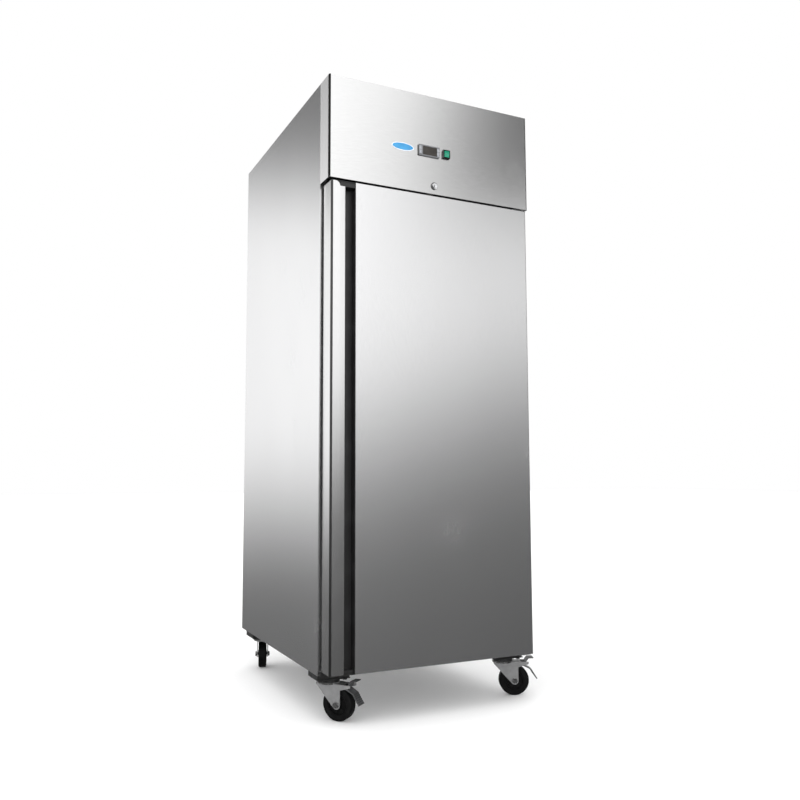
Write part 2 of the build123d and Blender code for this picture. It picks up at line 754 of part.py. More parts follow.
def cut_bush_holes(radius):
    """Takes the two hinge bushes' seats out of the piece being built."""
    rod(hinge_x, hinge_y, door_bottom - 1, door_bottom + bush_length, radius, mode=Mode.SUBTRACT)
    rod(hinge_x, hinge_y, door_top - bush_length, door_top + 1, radius, mode=Mode.SUBTRACT)


def cut_keeper():
    """Takes the lock bolt's pocket out of the piece being built."""
    block(-keeper_half, keeper_half, keeper_y0, keeper_y1, keeper_low, door_top + 1,
          mode=Mode.SUBTRACT)


# Outer sheet: front, right, top and bottom, and the near wall of the finger channel.
pan_back = door_back_y - sheet
with BuildPart() as door_skin:
    with BuildSketch(Plane.XY.offset(door_bottom)):
        with Locations(((channel_x1 + door_x) / 2, (front_y + pan_back) / 2)):
            outline = Rectangle(door_x - channel_x1, pan_back - front_y)
        fillet(outline.vertices().group_by(Axis.Y)[0].sort_by(Axis.X)[-1], radius=skin_radius)
    extrude(amount=door_top - door_bottom)
    with BuildSketch(Plane.XY.offset(door_bottom + sheet)):
        with Locations(((channel_x1 + door_x) / 2, (front_y + sheet + pan_back) / 2)):
            hollow = Rectangle(door_x - channel_x1 - 2 * sheet, pan_back - front_y - sheet)
        fillet(hollow.vertices().group_by(Axis.Y)[0].sort_by(Axis.X)[-1],
               radius=skin_radius - sheet)
    extrude(amount=door_top - door_bottom - 2 * sheet, mode=Mode.SUBTRACT)
    block(channel_x1 - 1, channel_x1 + sheet, channel_back, pan_back + 1,
          door_bottom + sheet, door_top - sheet, mode=Mode.SUBTRACT)
    cut_bush_holes(bush_radius + bush_seat_gap)
    cut_keeper()
save(door_skin, "door_skin")

# Inner sheet with a shallow raised field inside the gasket.
field_x = door_x - plateau_inset
field_z0 = door_bottom + plateau_inset
field_z1 = door_top - plateau_inset
with BuildPart() as door_inner_pan:
    block(channel_x0, door_x, pan_back, door_back_y, door_bottom, door_top)
    block(-field_x, field_x, door_back_y, door_back_y + door_plateau, field_z0, field_z1)
    fillet(door_inner_pan.faces().sort_by(Axis.Y)[-1].edges(), radius=2.5)
    block(-field_x + 3, field_x - 3, pan_back, door_back_y + door_plateau - sheet,
          field_z0 + 3, field_z1 - 3, mode=Mode.SUBTRACT)
save(door_inner_pan, "door_inner_pan")

with BuildPart() as door_foam:
    with BuildSketch(Plane.XY.offset(door_bottom + sheet)):
        with Locations(((channel_x1 + door_x) / 2, (front_y + sheet + pan_back) / 2)):
            fill = Rectangle(door_x - channel_x1 - 2 * sheet, pan_back - front_y - sheet)
        fillet(fill.vertices().group_by(Axis.Y)[0].sort_by(Axis.X)[-1],
               radius=skin_radius - sheet)
    extrude(amount=door_top - door_bottom - 2 * sheet)
    block(channel_x0, channel_x1 + sheet, channel_back, pan_back,
          door_bottom + cap_plate, door_top - cap_plate)
    cut_bush_holes(bush_radius + bush_seat_gap)
    cut_keeper()
save(door_foam, "door_foam")

# Pull grip: hollow extrusion with a lip that the fingers curl behind.
grip_back = door_back_y
grip_low = door_bottom + cap_plate
lip_lean = 0.5
grip_high = door_top - cap_plate
with BuildPart() as grip_profile:
    with BuildSketch(Plane.XY.offset(grip_low)) as grip_section:
        with BuildLine():
            Polyline(
                (grip_x0, front_y),
                (crease_x, front_y),
                (grip_x1, front_y + lip_lean),
                (grip_x1, front_y + grip_lip),
                (channel_x0, front_y + grip_lip),
                (channel_x0, grip_back),
                (grip_x0, grip_back),
                close=True,
            )
        make_face()
        corner = grip_section.vertices().sort_by(lambda v: v.X + v.Y)[0]
        fillet(corner, radius=grip_corner)
        offset(amount=-grip_wall, mode=Mode.SUBTRACT)
    extrude(amount=grip_high - grip_low)
    # The lip ends lower than the face, and the face ends in a quarter round.
    step_z = grip_high - grip_arc
    round_x = crease_x - grip_arc
    with BuildSketch(Plane(origin=(0, front_y - 1, 0), x_dir=(1, 0, 0), z_dir=(0, -1, 0))):
        with BuildLine():
            Polyline((round_x, grip_high), (round_x, door_top + 1), (grip_x1 + 1, door_top + 1),
                     (grip_x1 + 1, step_z), (crease_x, step_z))
            RadiusArc((crease_x, step_z), (round_x, grip_high), -grip_arc)
        make_face()
    extrude(amount=-(grip_lip + 1.0), mode=Mode.SUBTRACT)
save(grip_profile, "grip_profile")

with BuildPart() as finger_channel:
    block(channel_x0, channel_x1, front_y, channel_back, grip_low, grip_high)
    block(channel_x0 + channel_wall, channel_x1 - channel_wall, front_y - 1,
          channel_back - channel_wall, grip_low - 1, grip_high + 1, mode=Mode.SUBTRACT)
    block(channel_x0 - 1, grip_x1, front_y - 1, front_y + grip_lip, grip_low - 1, grip_high + 1,
          mode=Mode.SUBTRACT)
save(finger_channel, "finger_channel")

# End caps of the grip and channel: a cover plate with plugs into both.
plug_gap = 0.2
with BuildPart() as grip_caps:
    for plate_z, z0, z1 in (
        (door_bottom, grip_low, grip_low + cap_plug),
        (grip_high, step_z, grip_high),
    ):
        block(grip_x0 + 1, channel_x1, front_y + 0.5, door_back_y - 2 * sheet,
              plate_z, plate_z + cap_plate)
        block(grip_x0 + grip_wall + plug_gap, channel_x0 - grip_wall - plug_gap,
              front_y + grip_lip + plug_gap, door_back_y - 3 * sheet, z0, z1)
        block(channel_x0 + channel_wall + plug_gap, channel_x1 - channel_wall - plug_gap,
              front_y + grip_lip + plug_gap, channel_back - channel_wall - plug_gap, z0, z1)
    block(crease_x + 1, channel_x1 - channel_wall - plug_gap, front_y + 2,
          front_y + grip_lip + 1, step_z + plug_gap, grip_high)
    caps_corner = grip_caps.edges().filter_by(Axis.Z).sort_by(lambda e: e.center().X + e.center().Y)
    fillet(caps_corner[:2], radius=grip_corner - 1)
save(grip_caps, "grip_caps")

with BuildPart() as door_gasket:
    x = door_x - gasket_inset
    z0 = door_bottom + gasket_inset
    z1 = door_top - gasket_inset
    w = gasket_width
    block(-x, x, door_back_y, face_y - gasket_clearance, z0, z1)
    block(-x + w, x - w, door_back_y - 1, face_y, z0 + w, z1 - w, mode=Mode.SUBTRACT)
save(door_gasket, "door_gasket")

with BuildPart() as hinge_bushes:
    for z0, z1 in ((door_bottom, door_bottom + bush_length), (door_top - bush_length, door_top)):
        rod(hinge_x, hinge_y, z0, z1, bush_radius)
        rod(hinge_x, hinge_y, z0 - 1, z1 + 1, pin_radius + pin_clearance, mode=Mode.SUBTRACT)
save(hinge_bushes, "hinge_bushes")

# ------------------------------------------------------------------- hinges

strap_x1 = side_x - 1.5
strap_x0 = strap_x1 - hinge_strap_width
strap_front = hinge_y - 26.0
bottom_strap_z = door_bottom - hinge_strap_gap - hinge_strap
top_strap_z = door_top + hinge_strap_gap - 1.0
for word, strap_z, pin_z0, pin_z1, flange_z0, flange_z1 in (
    ("bottom", bottom_strap_z, bottom_strap_z, door_bottom + pin_length,
     bottom_strap_z, bottom_strap_z + hinge_flange),
    ("top", top_strap_z, door_top - pin_length, top_strap_z + hinge_strap,
     top_strap_z + hinge_strap - hinge_flange, top_strap_z + hinge_strap),
):
    with BuildPart() as hinge_bracket:
        block(strap_x0, strap_x1, strap_front, face_y, strap_z, strap_z + hinge_strap)
        front_corners = hinge_bracket.edges().filter_by(Axis.Z).group_by(Axis.Y)[0]
        fillet(front_corners, radius=10)
        block(strap_x0, strap_x1, face_y - hinge_strap, face_y, flange_z0, flange_z1)
        rod(hinge_x, hinge_y, pin_z0, pin_z1, pin_radius)
    save(hinge_bracket, f"hinge_bracket_{word}")

# Cover over the unused hinge seat on the left.
with BuildPart() as hinge_seat_cover:
    block(-strap_x1, -strap_x0, face_y - 18, face_y, bottom_strap_z - 4, bottom_strap_z + 2)
    fillet(hinge_seat_cover.edges().filter_by(Axis.Z).group_by(Axis.Y)[0], radius=5)
save(hinge_seat_cover, "hinge_seat_cover")

# ------------------------------------------------------------------ casters

with BuildPart() as caster_plates:
    for x, y in plate_spots:
        block(x - plate_x / 2, x + plate_x / 2, y - plate_y / 2, y + plate_y / 2,
              caster_height - plate_thick, caster_height)
        race_low = fork_top + plate_thick
        rod(x, y, race_low, caster_height, race_radius)
        rod(x, y, fork_top - fork_thick - 4, race_low, kingpin_radius)
        rod(x, y, fork_top - fork_thick - 4, fork_top - fork_thick - race_gap, kingpin_head)
        with Locations((x, y, caster_height - plate_thick / 2)):
            with GridLocations(plate_hole_x, plate_hole_y, 2, 2):
                Cylinder(bolt_radius + 0.3, 2 * plate_thick, mode=Mode.SUBTRACT)
save(caster_plates, "caster_plates")

with BuildPart() as caster_bolts:
    for x, y in plate_spots:
        head_low = caster_height - plate_thick - bolt_head_height
        with BuildSketch(Plane.XY.offset(head_low)):
            with Locations((x, y)):
                with GridLocations(plate_hole_x, plate_hole_y, 2, 2):
                    RegularPolygon(bolt_head_flats / 2, 6, major_radius=False)
        extrude(amount=bolt_head_height)
        with Locations((x, y, caster_height - plate_thick / 2)):
            with GridLocations(plate_hole_x, plate_hole_y, 2, 2):
                Cylinder(bolt_radius, plate_thick)
save(caster_bolts, "caster_bolts")

# Places on the fork's nose and on the pedal, in wheel radii from the axle.
nose_share = 0.96
nose_plate_share = 0.48
pivot_share = (0.44, 1.02)
pedal_outline = (
    (0.40, 0.96), (0.60, 0.94), (0.88, 0.82), (1.10, 0.70), (1.20, 0.52), (1.32, 0.32),
    (1.50, 0.08), (1.55, 0.12), (1.37, 0.36), (1.25, 0.56), (1.14, 0.74), (0.90, 0.88),
    (0.68, 1.00), (0.78, 1.10), (0.88, 1.32), (0.98, 1.43), (1.30, 1.45), (1.30, 1.50),
    (0.95, 1.49), (0.83, 1.36), (0.72, 1.14), (0.48, 1.12),
)
nose_back = 40.0
nose_drops = (20.0, 14.0, 7.0)
nose_slope = 24.0
nose_end = caster_trail + nose_share * wheel_radius
nose_plate_end = caster_trail + nose_plate_share * wheel_radius
pedal_pivot = (caster_trail + pivot_share[0] * wheel_radius, wheel_radius * (1 + pivot_share[1]))
pedal_points = [
    (caster_trail + u * wheel_radius, wheel_radius * (1 + rise)) for u, rise in pedal_outline
]
pedal_half = 17.0
brake_pin_radius = 2.5
shoe_gap = 0.3
boss_radius = (hypot(*pivot_share) - 1) * wheel_radius - shoe_gap
leg_inner = wheel_hub_width / 2 + fork_gap
leg_outer = leg_inner + fork_thick
for name, (x, y, heading) in caster_places.items():
    along = Vector(cos(radians(heading)), sin(radians(heading)), 0)
    across = Vector(along.Y, -along.X, 0)
    foot = Vector(x, y, 0)
    axle_point = foot + along * caster_trail + Vector(0, 0, wheel_radius)
    braked = name.startswith("front")

    with BuildPart() as caster_fork:
        for turn in (-1, 1):
            near = leg_inner if turn > 0 else -leg_outer
            leg_plane = Plane(origin=foot + across * near, x_dir=along, z_dir=across)
            with BuildSketch(leg_plane) as leg_section:
                with Locations((caster_trail, wheel_radius)):
                    Circle(leg_radius)
                with Locations(((caster_trail + leg_radius - race_radius) / 2, fork_top - 3)):
                    Rectangle(caster_trail + leg_radius + race_radius, 6)
                make_hull()
                if braked:
                    with BuildLine():
                        Polyline(
                            (nose_back, fork_top),
                            (nose_back, fork_top - nose_drops[0]),
                            (nose_end - nose_slope, fork_top - nose_drops[1]),
                            (nose_end, fork_top - nose_drops[2]),
                            (nose_end, fork_top),
                            close=True,
                        )
                    make_face()
            extrude(amount=fork_thick)
        with BuildSketch(Plane(origin=foot + Vector(0, 0, fork_top - fork_thick), x_dir=along,
                               z_dir=(0, 0, 1))):
            Circle(race_radius)
            plate_end = nose_plate_end if braked else caster_trail + leg_radius
            with Locations((plate_end / 2, 0)):
                Rectangle(plate_end, 2 * leg_outer)
            with Locations((-race_radius / 2, 0)):
                Rectangle(race_radius, 2 * leg_outer)
        extrude(amount=fork_thick)
        rod(x, y, fork_top, fork_top + plate_thick - race_gap, race_radius)
        rod(x, y, fork_top - fork_thick - 1, fork_top + plate_thick, kingpin_radius + pin_clearance,
            mode=Mode.SUBTRACT)
        with BuildSketch(Plane(origin=axle_point, x_dir=along, z_dir=across)):
            Circle(axle_radius + 0.1)
        extrude(amount=2 * leg_outer, both=True, mode=Mode.SUBTRACT)
        if braked:
            with BuildSketch(Plane(origin=foot, x_dir=along, z_dir=across)):
                with Locations(pedal_pivot):
                    Circle(brake_pin_radius)
            extrude(amount=leg_outer, both=True)
        # Axle bolt through both legs, with its head and nut outside.
        with BuildSketch(Plane(origin=axle_point, x_dir=along, z_dir=across)):
            Circle(axle_radius)
        extrude(amount=leg_outer + 1, both=True)
        for turn in (-1, 1):
            start = leg_outer + 0.1
            end_plane = Plane(origin=axle_point + across * (turn * start), x_dir=along,
                              z_dir=across * turn)
            with BuildSketch(end_plane):
                RegularPolygon(axle_head_flats / 2, 6, major_radius=False)
            extrude(amount=axle_head_height)
    save(caster_fork, f"caster_fork_{name}")

    with BuildPart() as caster_wheel:
        bore = axle_radius + axle_clearance
        with BuildSketch(Plane(origin=axle_point, x_dir=across, z_dir=across.cross(Vector(0, 0, 1)))):
            with BuildLine():
                Polyline(
                    (-wheel_hub_width / 2, bore),
                    (-wheel_hub_width / 2, 12),
                    (-wheel_width / 2 + 5, 14),
                    (-wheel_width / 2 + 5, wheel_radius - 16),
                    (-wheel_width / 2 + 1, wheel_radius - 13),
                    (-wheel_width / 2, wheel_radius - 5),
                )
                ThreePointArc((-wheel_width / 2, wheel_radius - 5), (0, wheel_radius),
                              (wheel_width / 2, wheel_radius - 5))
                Polyline(
                    (wheel_width / 2, wheel_radius - 5),
                    (wheel_width / 2 - 1, wheel_radius - 13),
                    (wheel_width / 2 - 5, wheel_radius - 16),
                    (wheel_width / 2 - 5, 14),
                    (wheel_hub_width / 2, 12),
                    (wheel_hub_width / 2, bore),
                    (-wheel_hub_width / 2, bore),
                )
            make_face()
        revolve(axis=Axis(axle_point, across))
    save(caster_wheel, f"caster_wheel_{name}")

    if braked:
        with BuildPart() as brake_pedal:
            with BuildSketch(Plane(origin=foot, x_dir=along, z_dir=across)) as pedal_section:
                with Locations(pedal_pivot):
                    Circle(boss_radius)
                with BuildLine():
                    Polyline(*pedal_points, close=True)
                make_face()
                with Locations(pedal_pivot):
                    Circle(brake_pin_radius + pin_clearance, mode=Mode.SUBTRACT)
            extrude(amount=pedal_half, both=True)
        save(brake_pedal, f"brake_pedal_{name}")
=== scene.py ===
import json
import math

import bmesh
import bpy
from mathutils import Matrix, Vector

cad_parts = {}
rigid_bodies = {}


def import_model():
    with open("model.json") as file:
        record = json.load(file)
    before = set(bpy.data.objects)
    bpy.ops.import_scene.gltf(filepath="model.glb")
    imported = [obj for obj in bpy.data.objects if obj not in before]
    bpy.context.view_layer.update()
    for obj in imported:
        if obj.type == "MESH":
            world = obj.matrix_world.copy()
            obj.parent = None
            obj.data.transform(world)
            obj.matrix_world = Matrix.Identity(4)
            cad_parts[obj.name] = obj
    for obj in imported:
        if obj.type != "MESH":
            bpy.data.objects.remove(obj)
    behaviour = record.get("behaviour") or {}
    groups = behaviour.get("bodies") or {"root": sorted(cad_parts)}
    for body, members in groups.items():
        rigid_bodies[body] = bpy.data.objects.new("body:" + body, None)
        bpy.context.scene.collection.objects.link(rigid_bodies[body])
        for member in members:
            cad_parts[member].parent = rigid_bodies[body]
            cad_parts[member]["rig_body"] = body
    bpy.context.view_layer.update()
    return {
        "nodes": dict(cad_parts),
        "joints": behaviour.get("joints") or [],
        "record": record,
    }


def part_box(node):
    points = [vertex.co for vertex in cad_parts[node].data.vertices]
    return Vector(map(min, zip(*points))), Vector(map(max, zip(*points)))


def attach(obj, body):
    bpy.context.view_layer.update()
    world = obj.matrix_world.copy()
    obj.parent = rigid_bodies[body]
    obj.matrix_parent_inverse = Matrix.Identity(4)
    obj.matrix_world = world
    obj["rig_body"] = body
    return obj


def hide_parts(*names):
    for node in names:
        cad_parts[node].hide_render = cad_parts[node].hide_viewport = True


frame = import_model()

cadNodes = frame["nodes"]
print("frame loaded")


# ---- material nodes

class Signal:
    # a number running between nodes; arithmetic on it adds Math nodes
    def __init__(self, net, socket):
        self.net = net
        self.socket = socket

    def sum(self, operation, first, second):
        made = self.net.node("Math", {"operation": operation}, {0: first, 1: second})
        return Signal(self.net, made.outputs[0])

    def __add__(self, other):
        return self.sum("ADD", self, other)

    def __radd__(self, other):
        return self.sum("ADD", other, self)

    def __sub__(self, other):
        return self.sum("SUBTRACT", self, other)

    def __rsub__(self, other):
        return self.sum("SUBTRACT", other, self)

    def __mul__(self, other):
        return self.sum("MULTIPLY", self, other)

    def __rmul__(self, other):
        return self.sum("MULTIPLY", other, self)


class Net:
    # a node tree with short ways to add and join its nodes
    def __init__(self, tree):
        self.tree = tree
        self.places = {}

    def node(self, kind, settings=None, inputs=None):
        made = self.tree.nodes.new("ShaderNode" + kind)
        for key, value in (settings or {}).items():
            setattr(made, key, value)
        for key, value in (inputs or {}).items():
            self.feed(made.inputs[key], value)
        return made

    def feed(self, socket, value):
        if isinstance(value, Signal):
            self.tree.links.new(value.socket, socket)
        elif isinstance(value, bpy.types.NodeSocket):
            self.tree.links.new(value, socket)
        else:
            socket.default_value = value

    def place(self, scale=(1, 1, 1)):
        # object coordinates, stretched
        if scale not in self.places:
            where = self.node("TexCoord").outputs["Object"]
            made = self.node("Mapping", {}, {"Vector": where, "Scale": scale})
            self.places[scale] = made.outputs["Vector"]
        return self.places[scale]

    def noise(self, size, scale=(1, 1, 1), detail=3.0, roughness=0.5):
        # cloudy pattern, size in marks per metre
        made = self.node("TexNoise", {}, {"Vector": self.place(scale), "Scale": size,
                                          "Detail": detail, "Roughness": roughness})
        return Signal(self, made.outputs[0])

    def cells(self, size, scale=(1, 1, 1)):
        # one random grey for each crystal
        made = self.node("TexVoronoi", {}, {"Vector": self.place(scale), "Scale": size})
        grey = self.node("SeparateColor", {}, {"Color": made.outputs["Color"]})
        return Signal(self, grey.outputs[0])

    def ramp(self, signal, low, high, toLow=0.0, toHigh=1.0):
        # eases from toLow to toHigh while the signal goes from low to high
        made = self.node("MapRange", {"interpolation_type": "SMOOTHSTEP"},
                         {"Value": signal, "From Min": low, "From Max": high,
                          "To Min": toLow, "To Max": toHigh})
        return Signal(self, made.outputs[0])

    def mix(self, factor, first, second):
        # blends two colours
        made = self.node("Mix", {"data_type": "RGBA"}, {0: factor, 6: first, 7: second})
        return made.outputs[2]

    def blend(self, factor, first, second):
        # the same for numbers
        made = self.node("Mix", {"data_type": "FLOAT"}, {0: factor, 2: first, 3: second})
        return Signal(self, made.outputs[0])


class Finish(Net):
    # a material with one Principled shader
    def __init__(self, name, fixed):
        self.material = bpy.data.materials.new(name)
        self.material.use_nodes = True
        super().__init__(self.material.node_tree)
        self.shader = self.tree.nodes["Principled BSDF"]
        for key, value in fixed.items():
            self.shader.inputs[key].default_value = value

    def paint(self, colour, roughness, height, strength, distance):
        bump = self.node("Bump", {}, {"Strength": strength, "Distance": distance,
                                      "Height": height})
        self.feed(self.shader.inputs["Base Color"], colour)
        self.feed(self.shader.inputs["Roughness"], roughness)
        self.feed(self.shader.inputs["Normal"], bump.outputs["Normal"])
        return self.material


def tone(red, green=None, blue=None):
    # a colour, or a grey when only one value is given
    return (red, green if green is not None else red, blue if blue is not None else red, 1)


def brushedSteel(name, look, grain):
    # long fine scratches along the grain, with faint clouding and hand marks
    finish = Finish(name, {"Metallic": 1.0})
    streak = finish.noise(look["scratchSize"], grain, detail=4.0, roughness=0.62)
    cloud = finish.noise(look["cloudSize"], (1, 1, 0.5), detail=2.0)
    marks = finish.noise(look["markSize"], (1, 1, 0.7), detail=5.0)
    marks = finish.ramp(marks, *look["markRange"])
    wear = streak * look["streakShare"] + cloud * (1 - look["streakShare"])
    wear = finish.ramp(wear, *look["wearRange"])
    colour = finish.mix(wear, look["dark"], look["light"])
    rough = look["roughness"] + (streak - 0.5) * look["scratchRough"] + marks * look["markRough"]
    return finish.paint(colour, rough, streak, look["bump"], look["depth"])


steelLook = {
    "dark": tone(0.70, 0.70, 0.705), "light": tone(0.80, 0.80, 0.805),
    "roughness": 0.25, "scratchSize": 110.0, "scratchRough": 0.06,
    "cloudSize": 1.6, "streakShare": 0.7, "wearRange": (0.3, 0.7),
    "markSize": 4.0, "markRange": (0.58, 0.78), "markRough": 0.03,
    "bump": 0.012, "depth": 0.0002,
}
# stretches of the scratch pattern along X, Y and Z
uprightGrain = (14, 14, 0.35)
levelGrain = (0.35, 14, 14)
depthGrain = (14, 0.35, 14)


def spangledZinc(name, look):
    # hot-dip crystals over dull grey
    finish = Finish(name, {"Metallic": 1.0})
    crystal = finish.cells(look["crystalSize"])
    cloud = finish.noise(look["cloudSize"])
    shine = crystal * look["crystalShare"] + cloud * (1 - look["crystalShare"])
    colour = finish.mix(shine, look["dark"], look["light"])
    rough = look["roughness"] + (crystal - 0.5) * look["crystalRough"]
    return finish.paint(colour, rough, crystal, look["bump"], look["depth"])


# shares of roughness and depth that the plated and the moulded finishes have in common
platedWear = {"dirtRange": (0.52, 0.72), "cloudRough": 0.12, "dirtRough": 0.2, "depth": 0.0003}
mouldedWear = {"rubRange": (0.45, 0.75), "grainRough": 0.12, "depth": 0.0003}


def platedMetal(name, look):
    # bright plating, slightly uneven, dulled where hands and dirt reach
    finish = Finish(name, {"Metallic": look.get("metallic", 1.0)})
    cloud = finish.noise(look["cloudSize"], detail=4.0)
    grit = finish.noise(look["gritSize"], detail=5.0, roughness=0.7)
    dirt = finish.ramp(finish.noise(look["dirtSize"], detail=6.0), *platedWear["dirtRange"])
    colour = finish.mix(cloud, look["dark"], look["light"])
    colour = finish.mix(dirt * look["dirt"], colour, look["dirtColour"])
    rough = look["roughness"] + (cloud - 0.5) * platedWear["cloudRough"]
    rough = rough + dirt * platedWear["dirtRough"]
    return finish.paint(colour, rough, grit, look["bump"], platedWear["depth"])


def mouldedPlastic(name, look, fixed=None):
    # fine moulded texture, with rubbed and dusty patches
    finish = Finish(name, fixed or {})
    grain = finish.noise(look["grainSize"], detail=3.0, roughness=0.7)
    rubbed = finish.noise(look["rubSize"], detail=6.0)
    rubbed = finish.ramp(rubbed, *mouldedWear["rubRange"])
    colour = finish.mix(rubbed, look["colour"], look["rubbed"])
    rough = look["roughness"] + (grain - 0.5) * mouldedWear["grainRough"]
    rough = rough - rubbed * look["polish"]
    return finish.paint(colour, rough, grain, look["bump"], mouldedWear["depth"])


